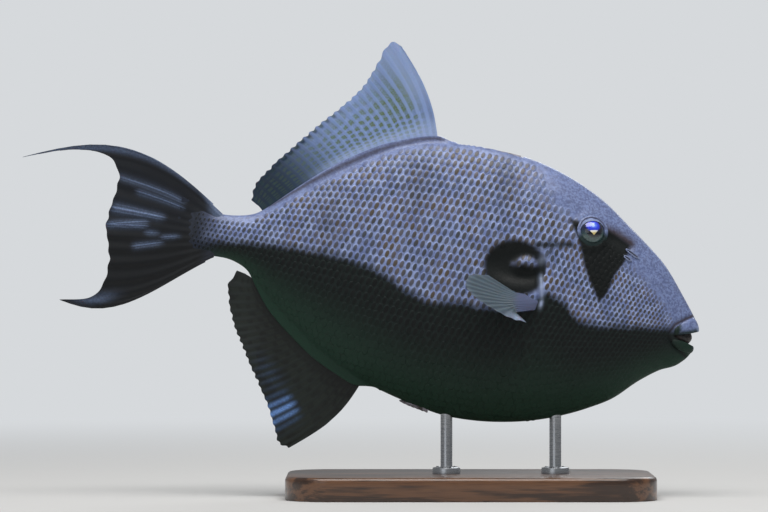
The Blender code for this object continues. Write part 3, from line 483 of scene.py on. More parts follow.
@dataclass(frozen=True)
class EyeFinish(Finish):
    """Iris and pupil, with a painted blue reflection and a painted glint, drawn in millimetres round the
    eye's axis.
    """

    name: str = "eye_globe"
    iris_low: tuple = tone(64, 92, 92)
    iris_side: tuple = tone(24, 34, 64)
    pupil: tuple = tone(7, 10, 24)
    # Tones of the painted reflection in the eye and of its painted glint.
    blue: tuple = tone(42, 62, 226)
    sky: tuple = tone(124, 166, 255)
    glint: tuple = tone(252, 249, 238)
    amber: tuple = tone(226, 204, 132)

    def sockets(self, graph: Graph) -> Inputs:
        """Return the shader's inputs, reading the place round the axis from the mesh."""
        gaze = graph.add("ShaderNodeSeparateXYZ", {0: graph.attribute("gaze", "Vector")}).outputs
        specks = graph.noise(graph.object_place(), 1300.0, 2.0)

        def away(centre_x: float, centre_z: float, wide: float, high: float) -> Socket:
            """Return the distance from a place, in half widths and half heights of an oval."""
            return graph.length(graph.math("DIVIDE", graph.math("SUBTRACT", gaze[0], centre_x), wide),
                                graph.math("DIVIDE", graph.math("SUBTRACT", gaze[1], centre_z), high))

        iris = graph.mix(graph.span(gaze[1], 1.5, -4.5), self.iris_side, self.iris_low)
        iris = graph.mix(graph.span(specks, 0.45, 0.7, 0.0, 0.5), iris, self.pupil)
        spikes = graph.math("SINE", graph.times(graph.math("ARCTAN2", gaze[1], gaze[0]), 30.0))
        edge = graph.math("ADD", away(0.0, 0.4, 1.0, 1.0), graph.times(spikes, 0.45))
        ragged = graph.line(specks, 1.2, edge)
        colour = graph.mix(graph.span(ragged, 7.2, 6.2), iris, self.pupil)
        # Painted reflection: a blue disc with a paler centre over the pupil.
        colour = graph.mix(graph.span(away(-0.5, 2.2, 4.7, 4.1), 1.2, 0.74), colour, self.blue)
        colour = graph.mix(graph.span(away(-0.3, 2.6, 3.2, 2.7), 1.1, 0.1, 0.0, 0.85), colour, self.sky)
        # Painted glint below it, white above and amber at its point.
        width = graph.line(gaze[1], 0.9, 4.1)
        slope = graph.math("SUBTRACT", width, graph.math("ABSOLUTE", graph.math("ADD", gaze[0], 0.5)))
        glint = graph.times(graph.span(slope, 0.0, 0.5), graph.span(gaze[1], -0.8, -1.4))
        pale = graph.mix(graph.span(gaze[1], -1.9, -2.8), self.glint, self.amber)
        surface = graph.surface(graph.mix(glint, colour, pale), specks, (0.1, 0.2), 0.15, 0.1)
        return surface | {"Coat Weight": 1.0, "Coat Roughness": 0.03}


@dataclass(frozen=True)
class FinPattern:
    """The pattern that all fins share, as one shader group."""

    cloud: float = 110.0
    grain: float = 900.0
    stagger: float = 2.4
    wander: float = 8.0

    def group(self) -> Tree:
        """Build the group.

        Returns:
            A group from the place on the fin, shares and colours to a colour, a roughness and a height.
        """
        shares = ("Ray", "Out", "Depth", "Dashes", "Lines", "Patch", "Rows", "Streak")
        inputs = dict.fromkeys(shares, FLOAT) | dict.fromkeys(("Pale", "Deep", "Dash", "Light"), COLOUR)
        outputs = {"Color": COLOUR, "Roughness": FLOAT, "Height": FLOAT}
        graph, given, result = new_group("fin_pattern", inputs, outputs)
        value = given.outputs
        place = graph.object_place()
        cloud = graph.noise(place, self.cloud, 2.0)
        fine = graph.noise(place, self.grain, 3.0)
        phase = graph.times(graph.math("ADD", value["Ray"], 0.5), 2 * math.pi)
        between = graph.line(graph.math("COSINE", phase), 0.5, 0.5)
        own = graph.math("SINE", graph.times(graph.math("FLOOR", value["Ray"]), self.stagger))
        turns = graph.times(graph.math("SQRT", value["Out"]), value["Rows"])
        wave = graph.line(turns, 2 * math.pi, graph.times(cloud, self.wander))
        wave = graph.line(graph.times(own, value["Out"]), 5.0, wave)
        rows = graph.span(graph.math("SINE", wave), -0.8, 0.3)
        rows = graph.math("MAXIMUM", rows, value["Lines"])
        colour = graph.mix(graph.span(value["Depth"], 0.0, 1.0), value["Pale"], value["Deep"])
        grainy = graph.span(fine, 0.3, 0.7, 0.6, 1.0)
        streaks = graph.times(graph.span(between, 0.25, 0.85), grainy)
        colour = graph.mix(graph.times(streaks, value["Streak"]), colour, value["Deep"])
        dashes = graph.times(rows, graph.span(between, 0.12, 0.6, 0.15, 1.0))
        dashes = graph.times(dashes, graph.times(value["Dashes"], grainy))
        colour = graph.mix(dashes, colour, value["Dash"])
        colour = graph.mix(graph.times(value["Patch"], grainy), colour, value["Light"])
        ridges = graph.line(fine, 0.4, graph.math("SUBTRACT", 1.0, between))
        gloss = graph.span(fine, 0.3, 0.7, 0.3, 0.48)
        graph.fill(result, {"Color": colour, "Roughness": gloss, "Height": ridges})
        return graph.tree


@dataclass(frozen=True)
class FinFinish(Finish):
    """Fin skin in the fins' shared pattern; it reads the mesh's fin map and its shares."""

    name: str
    pattern: Tree
    pale: tuple
    deep: tuple
    dash: tuple
    light: tuple
    rows: float
    dash_share: float
    streak: float
    sheer: float

    def sockets(self, graph: Graph) -> Inputs:
        """Return the shader's inputs."""
        fin = graph.add("ShaderNodeSeparateXYZ", {0: graph.add("ShaderNodeUVMap", uv_map="fin").outputs[0]})
        inputs = {name.title(): graph.attribute(name) for name in ("depth", "lines", "patch")}
        inputs |= {"Dashes": graph.times(graph.attribute("dashes"), self.dash_share), "Ray": fin.outputs[0],
                   "Out": fin.outputs[1], "Rows": self.rows, "Streak": self.streak, "Pale": self.pale,
                   "Deep": self.deep, "Dash": self.dash, "Light": self.light}
        look = graph.add("ShaderNodeGroup", inputs, node_tree=self.pattern).outputs
        return {"Base Color": look["Color"], "Roughness": look["Roughness"],
                "Normal": graph.bump(look["Height"], 0.6, 0.25), "Subsurface Weight": self.sheer,
                "Subsurface Scale": 1.0 * MM, "Coat Weight": 0.15, "Coat Roughness": 0.25,
                "Specular IOR Level": 0.3}


@dataclass(frozen=True)
class HornFinish(Finish):
    """Rough horny skin of the spines."""

    name: str = "spine_horn"
    light: tuple = tone(150, 148, 158)
    dark: tuple = tone(70, 66, 66)

    def sockets(self, graph: Graph) -> Inputs:
        """Return the shader's inputs."""
        place = graph.object_place()
        grains = graph.noise(place, 1100.0, 3.0)
        worn = graph.span(graph.noise(place, 200.0, 2.0), 0.35, 0.65)
        return graph.surface(graph.mix(worn, self.dark, self.light), grains, (0.45, 0.7), 0.8, 0.25)


@dataclass(frozen=True)
class WoodFinish(Finish):
    """Varnished walnut with grain along the base."""

    name: str = "base_walnut"
    light: tuple = tone(112, 76, 50)
    dark: tuple = tone(56, 36, 24)

    def sockets(self, graph: Graph) -> Inputs:
        """Return the shader's inputs."""
        rings = graph.noise(graph.stretched_place(5.0, 60.0, 60.0), 1.0, 4.0, 0.6)
        bands = graph.math("SINE", graph.times(rings, 26.0))
        pores = graph.noise(graph.stretched_place(60.0, 1400.0, 1400.0), 1.0, 2.0)
        grain = graph.math("MULTIPLY_ADD", pores, 0.8, graph.times(bands, 0.3), clamp=True)
        colour = graph.mix(graph.span(grain, 0.1, 0.8), self.dark, self.light)
        surface = graph.surface(colour, pores, (0.28, 0.4), 0.25, 0.15)
        return surface | {"Coat Weight": 0.5, "Coat Roughness": 0.12}


@dataclass(frozen=True)
class SteelFinish(Finish):
    """Turned and brushed steel."""

    name: str = "rod_steel"
    light: tuple = tone(205, 207, 210)
    dark: tuple = tone(150, 153, 158)

    def sockets(self, graph: Graph) -> Inputs:
        """Return the shader's inputs."""
        lines = graph.noise(graph.stretched_place(120.0, 120.0, 5000.0), 1.0, 2.0)
        colour = graph.mix(lines, self.dark, self.light)
        return graph.surface(colour, lines, (0.22, 0.38), 0.15, 0.05) | {"Metallic": 1.0}


@dataclass(frozen=True)
class FloorFinish(Finish):
    """Pale floor that fades into the backdrop's tone away from the model."""

    name: str
    near: tuple
    far: tuple
    fade: Pair = (0.3, 1.5)
    bounce: float = 0.25

    def sockets(self, graph: Graph) -> Inputs:
        """Return the shader's inputs."""
        place, black = graph.object_place(), (0.0, 0.0, 0.0, 1.0)
        away = graph.add("ShaderNodeVectorMath", {0: place}, operation="LENGTH").outputs["Value"]
        share = graph.span(away, *self.fade)
        dust = graph.noise(place, 60.0, 3.0)
        pale = graph.mix(graph.span(dust, 0.3, 0.7, 0.0, 0.04), self.near, self.far)
        seen = graph.add("ShaderNodeLightPath").outputs["Is Camera Ray"]
        return {"Base Color": graph.mix(share, pale, black),
                "Emission Color": graph.mix(share, black, self.far),
                "Emission Strength": graph.span(seen, 0.0, 1.0, self.bounce, 1.0),
                "Roughness": 0.6, "Specular IOR Level": 0.0}


def new_piece(name: str, points: Array, faces: Sequence, materials: Sequence[Material],
              crease: float = 40.0) -> Piece:
    """Make an object from world points in metres, with outward faces and smooth shading.

    Args:
        name: the piece's name.
        points: world points in metres.
        faces: rows of point numbers.
        materials: the piece's materials, in slot order.
        crease: edges sharper than this many degrees stay crisp.

    Returns:
        The new object, at the origin.
    """
    mesh = bpy.data.meshes.new(name)
    mesh.from_pydata(np.asarray(points).tolist(), [], [tuple(face) for face in faces])
    work = bmesh.new()
    work.from_mesh(mesh)
    bmesh.ops.recalc_face_normals(work, faces=work.faces)
    work.to_mesh(mesh)
    work.free()
    for material in materials:
        mesh.materials.append(material)
    smooth(mesh, crease)
    return linked(name, mesh)


def smooth(mesh: Mesh, crease: float) -> None:
    """Shade a mesh smooth, with edges sharper than some degrees left crisp."""
    mesh.shade_smooth()
    mesh.set_sharp_from_angle(angle=math.radians(crease))


def linked(name: str, data: bpy.types.ID) -> Piece:
    """Return a new object of the scene."""
    item = bpy.data.objects.new(name, data)
    bpy.context.scene.collection.objects.link(item)
    return item


def point_lines(points: Array, edges: Sequence[tuple[int, int]] = (), **values: Array) -> Piece:
    """Return an object of bare world points and edges, with values kept at each point."""
    mesh = bpy.data.meshes.new("points")
    mesh.from_pydata(points.tolist(), list(edges), [])
    for name, kept in values.items():
        store(mesh, name, kept)
    return linked("points", mesh)


def mesh_points(mesh: Mesh) -> Array:
    """Return a mesh's points as an array."""
    flat = np.empty(len(mesh.vertices) * 3)
    mesh.vertices.foreach_get("co", flat)
    return flat.reshape(-1, 3)


def store(mesh: Mesh, name: str, values: Array) -> None:
    """Keep a value, or a vector of three, at each point of a mesh."""
    values = np.asarray(values, float)
    kind = "FLOAT_VECTOR" if values.ndim == 2 else "FLOAT"
    attribute = mesh.attributes.get(name) or mesh.attributes.new(name, kind, "POINT")
    attribute.data.foreach_set("vector" if values.ndim == 2 else "value", values.ravel())


def store_marks(mesh: Mesh, shares: dict[Mark, Array | float], shape: tuple[int, ...]) -> None:
    """Keep marks at each point of a mesh, each spread over the grid of its points."""
    for mark, share in shares.items():
        store(mesh, mark.value, np.broadcast_to(share, shape).ravel())


def store_map(mesh: Mesh, name: str, values: Array) -> None:
    """Keep a flat map of each point as a UV layer."""
    corners = np.empty(len(mesh.loops), int)
    mesh.loops.foreach_get("vertex_index", corners)
    mesh.uv_layers.new(name=name).data.foreach_set("uv", np.asarray(values, float)[corners].ravel())


def settle(piece: Piece, slot: Slot, *nodes: str) -> Piece:
    """Fix a finished piece to the model and report it.

    Args:
        piece: the finished piece.
        slot: not used.
        nodes: solids that it stands for.

    Returns:
        The piece.
    """
    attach(piece, "root")
    if nodes:
        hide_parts(*nodes)
    triangles = sum(len(face.vertices) - 2 for face in piece.data.polygons)
    LOG.info("%s: %d triangles, stands for %s", piece.name, triangles, ", ".join(nodes) or "nothing")
    return piece


def realized(source: Piece, tree: Tree, values: Inputs, name: str) -> Piece:
    """Run a geometry tree on an object and keep the result as a plain mesh.

    Args:
        source: the object that the tree starts from; it is removed.
        tree: the geometry tree.
        values: the tree's inputs by name.
        name: the new piece's name.

    Returns:
        The new object, with no modifier.
    """
    modifier = source.modifiers.new("form", "NODES")
    modifier.node_group = tree
    for item in tree.interface.items_tree:
        if item.in_out == "INPUT" and item.name in values:
            modifier[item.identifier] = values[item.name]
    graph = bpy.context.evaluated_depsgraph_get()
    mesh = bpy.data.meshes.new_from_object(source.evaluated_get(graph))
    source.modifiers.clear()
    bpy.data.objects.remove(source)
    mesh.name = name
    return linked(name, mesh)


def sheet_faces(columns: int, rows: int, start: int = 0, flip: bool = False) -> Faces:
    """Return triangles over a grid of points, each cell split along the same diagonal."""
    faces = []
    for c in range(columns - 1):
        for r in range(rows - 1):
            a = start + c * rows + r
            b, e, d = a + rows, a + rows + 1, a + 1
            faces += [(a, e, b), (a, d, e)] if flip else [(a, b, e), (a, e, d)]
    return faces


def ring_faces(rings: int, around: int, caps: bool = True, closed: bool = False) -> Faces:
    """Return faces of a tube of rings, with a cap at each end or closed to a loop."""
    faces = []
    for i in range(rings if closed else rings - 1):
        a, b = i * around, (i + 1) % rings * around
        for k in range(around):
            n = (k + 1) % around
            faces.append((a + k, a + n, b + n, b + k))
    if caps:
        faces += [tuple(range(around)), tuple(range((rings - 1) * around, rings * around))]
    return faces


def repeated(faces: Faces, count: int, size: int) -> Faces:
    """Return the faces of several like shapes of some points each, which follow each other."""
    return [tuple(v + k * size for v in face) for k in range(count) for face in faces]


def geometry_group(name: str, inputs: dict[str, str]) -> tuple[Graph, dict[str, Socket], Node]:
    """Start a geometry tree that also takes a finish, and return its graph, inputs and output node."""
    inputs = {"Geometry": GEOMETRY} | inputs | {"Finish": "NodeSocketMaterial"}
    graph, given, result = new_group(name, inputs, {"Geometry": GEOMETRY}, "GeometryNodeTree")
    return graph, given.outputs, result


def finished(graph: Graph, shape: Socket, finish: Socket, result: Node) -> Tree:
    """End a geometry tree: make every copy real and give it the finish."""
    solid = graph.add("GeometryNodeRealizeInstances", {"Geometry": shape})
    dressed = graph.add("GeometryNodeSetMaterial", {"Geometry": solid.outputs[0], "Material": finish})
    graph.fill(result, {"Geometry": dressed.outputs[0]})
    return graph.tree


def kept_value(graph: Graph, name: str, kind: str) -> Socket:
    """Return a value that the points of a geometry tree carry."""
    return graph.add("GeometryNodeInputNamedAttribute", {"Name": name}, data_type=kind).outputs[0]


def copies_tree() -> Tree:
    """Return the tree that sets a shape on each point, turned and sized by the point."""
    tree = bpy.data.node_groups.get("set_copies")
    if tree:
        return tree
    graph, given, result = geometry_group("set_copies", {"Shape": "NodeSocketObject"})
    shape = graph.add("GeometryNodeObjectInfo", {"Object": given["Shape"]})
    turn, size = (kept_value(graph, name, "FLOAT_VECTOR") for name in ("turn", "size"))
    copies = graph.add("GeometryNodeInstanceOnPoints", {
        "Points": given["Geometry"], "Instance": shape.outputs["Geometry"], "Rotation": turn, "Scale": size})
    return finished(graph, copies.outputs[0], given["Finish"], result)


def new_ball(name: str, centre: Rows, radii: Rows, material: Material) -> Piece:
    """Make an egg shape in the fish's frame, with its poles ahead and behind."""
    bend, spin = np.linspace(0.02, math.pi - 0.02, 17)[:, None], circle(28)
    ball = joined(np.cos(bend), np.sin(bend) * np.cos(spin), np.sin(bend) * np.sin(spin))
    points = to_world(ball * np.array(radii) + np.array(centre))
    return new_piece(name, points, ring_faces(*ball.shape[:2]), [material])


def cut(piece: Piece, cutter: Piece) -> None:
    """Cut a closed object from a piece, which takes its last material on the cut, and remove it."""
    for face in cutter.data.polygons:
        face.material_index = len(piece.data.materials) - 1
    modifier = piece.modifiers.new("cut", "BOOLEAN")
    modifier.operation = "DIFFERENCE"
    modifier.solver = "EXACT"
    modifier.object = cutter
    graph = bpy.context.evaluated_depsgraph_get()
    result = bpy.data.meshes.new_from_object(piece.evaluated_get(graph))
    piece.modifiers.clear()
    old = piece.data
    piece.data = result
    bpy.data.meshes.remove(old)
    bpy.data.objects.remove(cutter)
    result.name = piece.name


@dataclass
class BodyForm:
    """Outlines and sections of the body; each row is a distance behind the snout, then a height."""

    back: Curve = Curve((
        (0, 1), (5, 7.7), (15, 20), (30, 37), (45, 48.9), (60, 59.2), (78, 71.4), (98, 81),
        (120, 88.1), (145, 92.3), (170, 93.4), (190, 91.6), (204, 89), (231, 77.4), (253, 62.7),
        (276, 45.6), (292, 32.5), (304, 22.6), (313, 17.4), (323, 14.6), (335, 13.6), (346, 15.6),
        (362, 20)))
    belly: Curve = Curve((
        (0, -14), (3.3, -20.6), (8, -26.2), (21.5, -34.2), (33, -43.4), (48, -58.4), (62.5, -67.8),
        (81, -77.2), (99, -84), (119, -89), (140, -91.9), (158, -92.3), (180, -89.2),
        (205, -83.6), (226, -77.2), (242, -70.2), (257, -61.8), (269, -53.6), (282, -44.8),
        (293, -36.4), (302, -27.8), (310, -20.8), (320, -16.8), (335, -16.4), (346, -17.4),
        (362, -19)))
    widest: Curve = Curve((
        (0, -5.5), (18, -4), (40, -4.5), (94, -11), (150, -15.5), (178, -15), (207, -9.5),
        (241, -2.5), (276, -0.5), (305, -1), (335, -1.6), (362, 2)))
    half_width: Curve = Curve((
        (0, 3.4), (1.5, 5.2), (5, 7.4), (12, 9.8), (20, 12), (35, 16.2), (60, 21.4), (86, 25.6),
        (110, 29), (130, 30.2), (160, 29.6), (200, 26), (240, 20), (275, 13.6), (300, 9.2),
        (320, 7), (335, 6.2), (344, 3.7), (350, 1.8), (356, 0.6), (362, 0.4)))
    back_taper: Curve = Curve(((0, 1.0), (30, 1.15), (80, 1.3), (140, 1.15), (335, 1.05)))
    belly_taper: Curve = Curve(((0, 1.0), (60, 1.1), (120, 1.2), (220, 1.2), (335, 1.05)))
    dorsal_sheath: Curve = Curve((
        (0, 0), (138, 0), (139, 0), (142.5, -4), (181, -4), (186, 0), (190, 0.8), (197, 3.6),
        (206, 4.4), (222, 5), (242, 6.8), (266, 7), (288, 4.2), (303, 1.6), (311, 0), (312, 0),
        (335, 0)))
    anal_sheath: Curve = Curve((
        (0, 0), (207, 0), (208, 0), (214, 1.8), (220, 4.6), (238, 6.2), (256, 7.4), (276, 7.4),
        (292, 5.6), (301, 3), (309, 0), (310, 0), (335, 0)))
    sheath_half: Pair = (2.9, 1.5)
    upper_fold: Rows = ((-4.6, 8.0), (-11.0, 4.0), (-16.8, -0.6), (-20.0, -6.5))
    lower_fold: Rows = ((-5.6, -20.6), (-11.2, -16.9), (-16.6, -13.6), (-20.0, -9.5))
    groove: Rows = ((-74.0, 48.8), (-66.0, 47.0), (-57.5, 44.4))
    gill_edge: Rows = ((-115.2, 28.0), (-113.9, 17.0), (-112.2, 9.0), (-110.2, 1.2), (-109.6, -4.5))
    hollow: tuple = ((-131.0, 19.0), (21.0, 12.5), 4.6)
    bosses: Rows = ((-123.8, 20.2, 7.6, 5.6, 5.0), (-131.6, 17.8, 3.8, 3.0, 2.2))
    eye: Pair = (-84.6, 50.7)

    def section(self, behind: Array, turn: Array) -> tuple[Array, Array]:
        """Return half width and height of plain sections.

        Args:
            behind: distances behind the snout.
            turn: angles in degrees, 90 at the back and -90 at the belly.

        Returns:
            y and z, shaped by the two inputs' own shapes.
        """
        turn = np.radians(turn)
        middle = self.widest(behind)
        up = turn >= 0
        reach = np.where(up, self.back(behind) - middle, middle - self.belly(behind))
        taper = np.where(up, self.back_taper(behind), self.belly_taper(behind))
        width = self.half_width(behind) * np.maximum(np.cos(turn), 0.0) ** taper
        return width, middle + reach * np.sin(turn)

    def turn_at(self, x: Array, z: Array) -> Array:
        """Return the section angle of points of the side view."""
        behind = -np.asarray(x, float)
        middle = self.widest(behind)
        reach = np.where(z >= middle, self.back(behind) - middle, middle - self.belly(behind))
        return np.degrees(np.arcsin(np.clip((z - middle) / reach, -1.0, 1.0)))

    def relief(self, x: Array, z: Array) -> Array:
        """Return how far the flank stands out of its plain section at points of the side view."""
        rise = -self.dip(x, z) - 1.7 * bell(path_distance(x, z, self.groove) / 3.0)
        for fold in (self.upper_fold, self.lower_fold):
            rise -= bell(path_distance(x, z, fold) / 1.5)
        edge = path_distance(x, z, self.gill_edge)
        behind_edge = path_distance(x, z, [(gx - 2.6, gz) for gx, gz in self.gill_edge])
        rise += bell(edge / 2.2) - 1.3 * bell(behind_edge)
        for bx, bz, long, high, out in self.bosses:
            rise += out * bell(oval(x, z, (bx, bz), (long, high)) ** 1.6 * 1.1)
        away = np.hypot(x - self.eye[0], z - self.eye[1])
        rise += 0.9 * bell((away - 11.0) / 3.0)
        rise -= 5.5 * ease(away, 9.6, 7.4)
        return rise

    def dip(self, x: Array, z: Array) -> Array:
        """Return the depth of the hollow behind the gill at points of the side view."""
        centre, radii, depth = self.hollow
        return depth * bell(np.square(oval(x, z, centre, radii)))

    def flank_y(self, x: float, z: float) -> float:
        """Return how far the plain flank, with its hollow, is from the middle."""
        turn = self.turn_at(x, z)
        return float(self.section(-np.asarray(x, float), turn)[0] - self.dip(x, z) * np.cos(np.radians(turn)))

    def frame_at(self, x: float, z: float, side: Side, upright: Array) -> tuple[Array, Array, Array, Array]:
        """Return the flank's point at a place of the side view, and the ways out of it, up it and ahead."""
        step = 2.0
        along = (self.flank_y(x + step, z) - self.flank_y(x - step, z)) / (2 * step)
        upward = (self.flank_y(x, z + step) - self.flank_y(x, z - step)) / (2 * step)
        look = unit(np.array((-along, side.value, -upward)))
        up = unit(upright - look * (upright @ look))
        return np.array((x, side.value * self.flank_y(x, z), z)), look, up, np.cross(up, look) * -side.value


@dataclass
class Markings:
    """Where the fish carries painted shade and painted highlights, and where it is pale, plain or warm, in
    side view.
    """

    form: BodyForm
    # Height of the terminator line, below which the flank is painted in shade.
    terminator: Curve = Curve((
        (0, -3), (22, -4.3), (40, -6.4), (71, -11.2), (78, -11.3), (89, -5.7), (94, -1.2), (100, 1.7),
        (110, 2.5), (116, -6), (125, -9), (145, -14), (161, -13.7), (186, -17), (201, -12.8),
        (217, -5.5), (236, -0.9), (272, 0.5), (328, -4.4), (362, -12)))
    # Oval of the painted shadow in the hollow behind the gill, and its front limit.
    hollow: tuple = ((-131.0, 16.0), (23.0, 20.0))
    hollow_front: float = -111.0
    # Line of the painted shadow under the shelf above the hollow.
    hollow_wedge: Rows = ((-120.0, 34.0), (-97.0, 38.4))
    # Outline of the painted shadow under the eye.
    eye_shade: Rows = (
        (-101.1, 55.6), (-96.0, 47.6), (-91.3, 39.7), (-85.7, 26.1), (-80.3, 17.0), (-71.1, 4.0),
        (-67.0, 10.4), (-64.1, 23.9), (-59.4, 33.1), (-57.8, 39.0), (-57.3, 46.2),
        (-66.0, 50.4), (-75.0, 53.6))
    # Path of the brown band along the groove before the eye, which also serves as painted shade in the
    # groove.
    brown: Rows = ((-76.0, 52.8), (-66.0, 50.6), (-57.5, 47.2))
    # Painted highlight at the lower end of the gill edge.
    spot: Pair = (-109.6, -4.5)
    saddles: Rows = ((-262.0, 24.0, 7.5, 20.0), (-148.0, 72.0, 7.0, 24.0), (-205.0, 58.0, 9.0, 18.0))

    def at(self, x: Array, z: Array) -> dict[Mark, Array]:
        """Return each mark at points of the side view.

        Args:
            x: places along the fish.
            z: heights.

        Returns:
            A share from 0 to 1 for each mark.
        """
        form, behind = self.form, -x
        # Painted shade: the flank is painted dark below the terminator line, as if lit from above.
        line = self.terminator(behind)
        ragged = 0.3 * np.sin(x * 0.9) + 0.3 * np.sin(x * 0.37 + 1.0)
        dusk = ease(z + ragged, line + 4.6, line - 4.0)
        # Painted shadows in the hollow behind the gill, under the eye and under the shelf above the hollow.
        shadow = ease(oval(x, z, *self.hollow), 1.05, 0.82) * (x < self.hollow_front)
        shadow = np.maximum(shadow, ease(inside_depth(x, z, self.eye_shade), -1.5, 1.7))
        wedge = 0.9 * bell(path_distance(x, z, self.hollow_wedge) / 2.6)
        dusk = np.maximum.reduce([dusk, shadow, wedge])
        # Painted light on the bosses: their upper parts are kept out of the painted shade.
        boss = np.zeros_like(dusk)
        for bx, bz, long, high, out in form.bosses:
            near = ease(oval(x, z, (bx, bz), (long, high)), 1.15, 0.75)
            boss = np.maximum(boss, near * ease(z, bz - 3.0, bz + 1.2) * min(0.85, out / 5.0))
        # Painted highlights along the gill edge, at its top and at its lower end.
        gill = path_distance(x, z, form.gill_edge)
        glow = 0.42 * bell(gill / 1.5) * ease(z, 17.0, 12.0) * ease(z, -4.0, 3.0)
        glow = glow + 0.25 * bell(oval(x, z, (-114.6, 25.0), (2.6, 3.4)))
        glow = np.maximum(glow, 0.6 * bell(oval(x, z, self.spot, (1.3, 2.8))))
        dusk = dusk * (1 - boss) * (1 - ease(glow, 0.2, 0.6))
        # How deep a point lies in the painted shade, for the belly's green tint.
        low = form.belly(behind)
        depth = np.clip((line - z) / (line - low), 0.0, 1.0)
        below_back = form.back(behind) - z
        brow = ease(below_back, 34.0, 16.0) * ease(behind, 150.0, 100.0)
        plain = np.maximum.reduce([brow, ease(behind, 30.0, 12.0), ease(depth, 0.5, 0.85),
                                   0.8 * ease(below_back, 7.0, 2.0)])
        # Brown band along the groove before the eye, which also darkens the groove as painted shade; brown
        # also deepens the painted shadows.
        warm = np.maximum(bell(path_distance(x, z, self.brown) / 4.0), 0.9 * shadow * dusk)
        # Painted shade along the creases of the lip folds.
        for fold in (form.upper_fold, form.lower_fold):
            warm = np.maximum(warm, bell(path_distance(x, z, fold) / 1.1))
        rise = form.dorsal_sheath(behind)
        band = bell((below_back + 0.42 * rise) / (0.3 * np.maximum(rise, 1.0)))
        warm = np.maximum(warm, 0.8 * band * ease(rise, 0.8, 2.4))
        saddle = np.zeros_like(dusk)
        for sx, sz, wide, high in self.saddles:
            saddle = np.maximum(saddle, bell((x - sx + 0.12 * (z - sz)) / wide) * bell((z - sz) / high))
        return {Mark.DUSK: dusk, Mark.BELLY: ease(depth, 0.25, 1.0), Mark.PLAIN: plain, Mark.WARM: warm,
                Mark.SADDLE: saddle, Mark.GLOW: np.clip(glow, 0.0, 1.0),
                Mark.TAIL: ease(behind, 322.0, 350.0)}

    def paint(self, mesh: Mesh) -> None:
        """Keep the marks at each point of a mesh that lies in place."""
        points = to_fish(mesh_points(mesh))
        store_marks(mesh, self.at(points[:, 0], points[:, 2]), (len(points),))


class Flank:
    """A fine grid over the right flank, from the back's middle line down to the belly's."""

    def __init__(self, form: BodyForm, runs: Rows, columns: int, inset: float) -> None:
        """Work out the grid.

        Args:
            form: the body's form.
            runs: start, end and steps of the sections along the body.
            columns: steps from back to belly.
            inset: how far the grid lies inside the solids.
        """
        self.form = form
        places = [0.0]
        for start, end, steps in runs:
            places += [mixed(start, end, (k + 1) / steps) for k in range(int(steps))]
        self.behind = np.array(places)
        self.columns = columns
        turn = np.linspace(90.0, -90.0, 721)
        rows = []
        self.length = np.empty(len(places))
        self.upper = np.empty(len(places))
        for i, behind in enumerate(self.behind):
            width, height = form.section(np.full(turn.shape, behind), turn)
            share = ease(width, *form.sheath_half)
            share[width > form.sheath_half[0]] = 0.0
            crest = np.where(turn > 0, form.dorsal_sheath(behind), -form.anal_sheath(behind))
            height = height + crest * share
            steps = np.hypot(np.diff(width), np.diff(height))
            arc = np.concatenate(([0.0], np.cumsum(steps)))
            self.length[i] = arc[-1]
            self.upper[i] = np.interp(0.0, MIDDLE_ROW - height, arc)
            goal = np.linspace(0.0, arc[-1], columns + 1)
            y, z, angle = (np.interp(goal, arc, v) for v in (width, height, turn))
            y = y + form.relief(np.full(y.shape, -behind), z) * np.cos(np.radians(angle))
            rows.append(joined(-behind, -np.maximum(y, 0.0), z))
        self.points = np.array(rows)
        self.points[:, (0, -1), 1] = 0.0
        self.normals = self.outward()
        self.points = self.points - self.normals * inset
        self.points[:, (0, -1), 1] = 0.0

    def outward(self) -> Array:
        """Return outward unit normals of the right flank's grid."""
        along = np.gradient(self.points, axis=0)
        down = np.gradient(self.points, axis=1)
        normals = np.cross(along, down)
        normals[:, (0, -1), 1] = 0.0
        return unit(normals)

    def sample(self, behind: Array, above: Array) -> tuple[Array, Array]:
        """Return points of the right flank and the directions that they face.

        Args:
            behind: distances behind the snout.
            above: distances above the middle row, measured over the skin.

        Returns:
            Two arrays of vectors in the fish's frame.
        """
        i = np.interp(behind, self.behind, np.arange(len(self.behind)))
        length = np.interp(behind, self.behind, self.length)
        upper = np.interp(behind, self.behind, self.upper)
        j = np.clip((upper - above) / length, 0.0, 1.0) * self.columns
        i0 = np.clip(i.astype(int), 0, len(self.behind) - 2)
        j0 = np.clip(j.astype(int), 0, self.columns - 1)
        a, b = (i - i0)[:, None], (j - j0)[:, None]

        def read(grid: Array) -> Array:
            """Return the grid's value between its four nearest points."""
            top = grid[i0, j0] * (1 - b) + grid[i0, j0 + 1] * b
            return top * (1 - a) + (grid[i0 + 1, j0] * (1 - b) + grid[i0 + 1, j0 + 1] * b) * a

        return read(self.points), unit(read(self.normals))


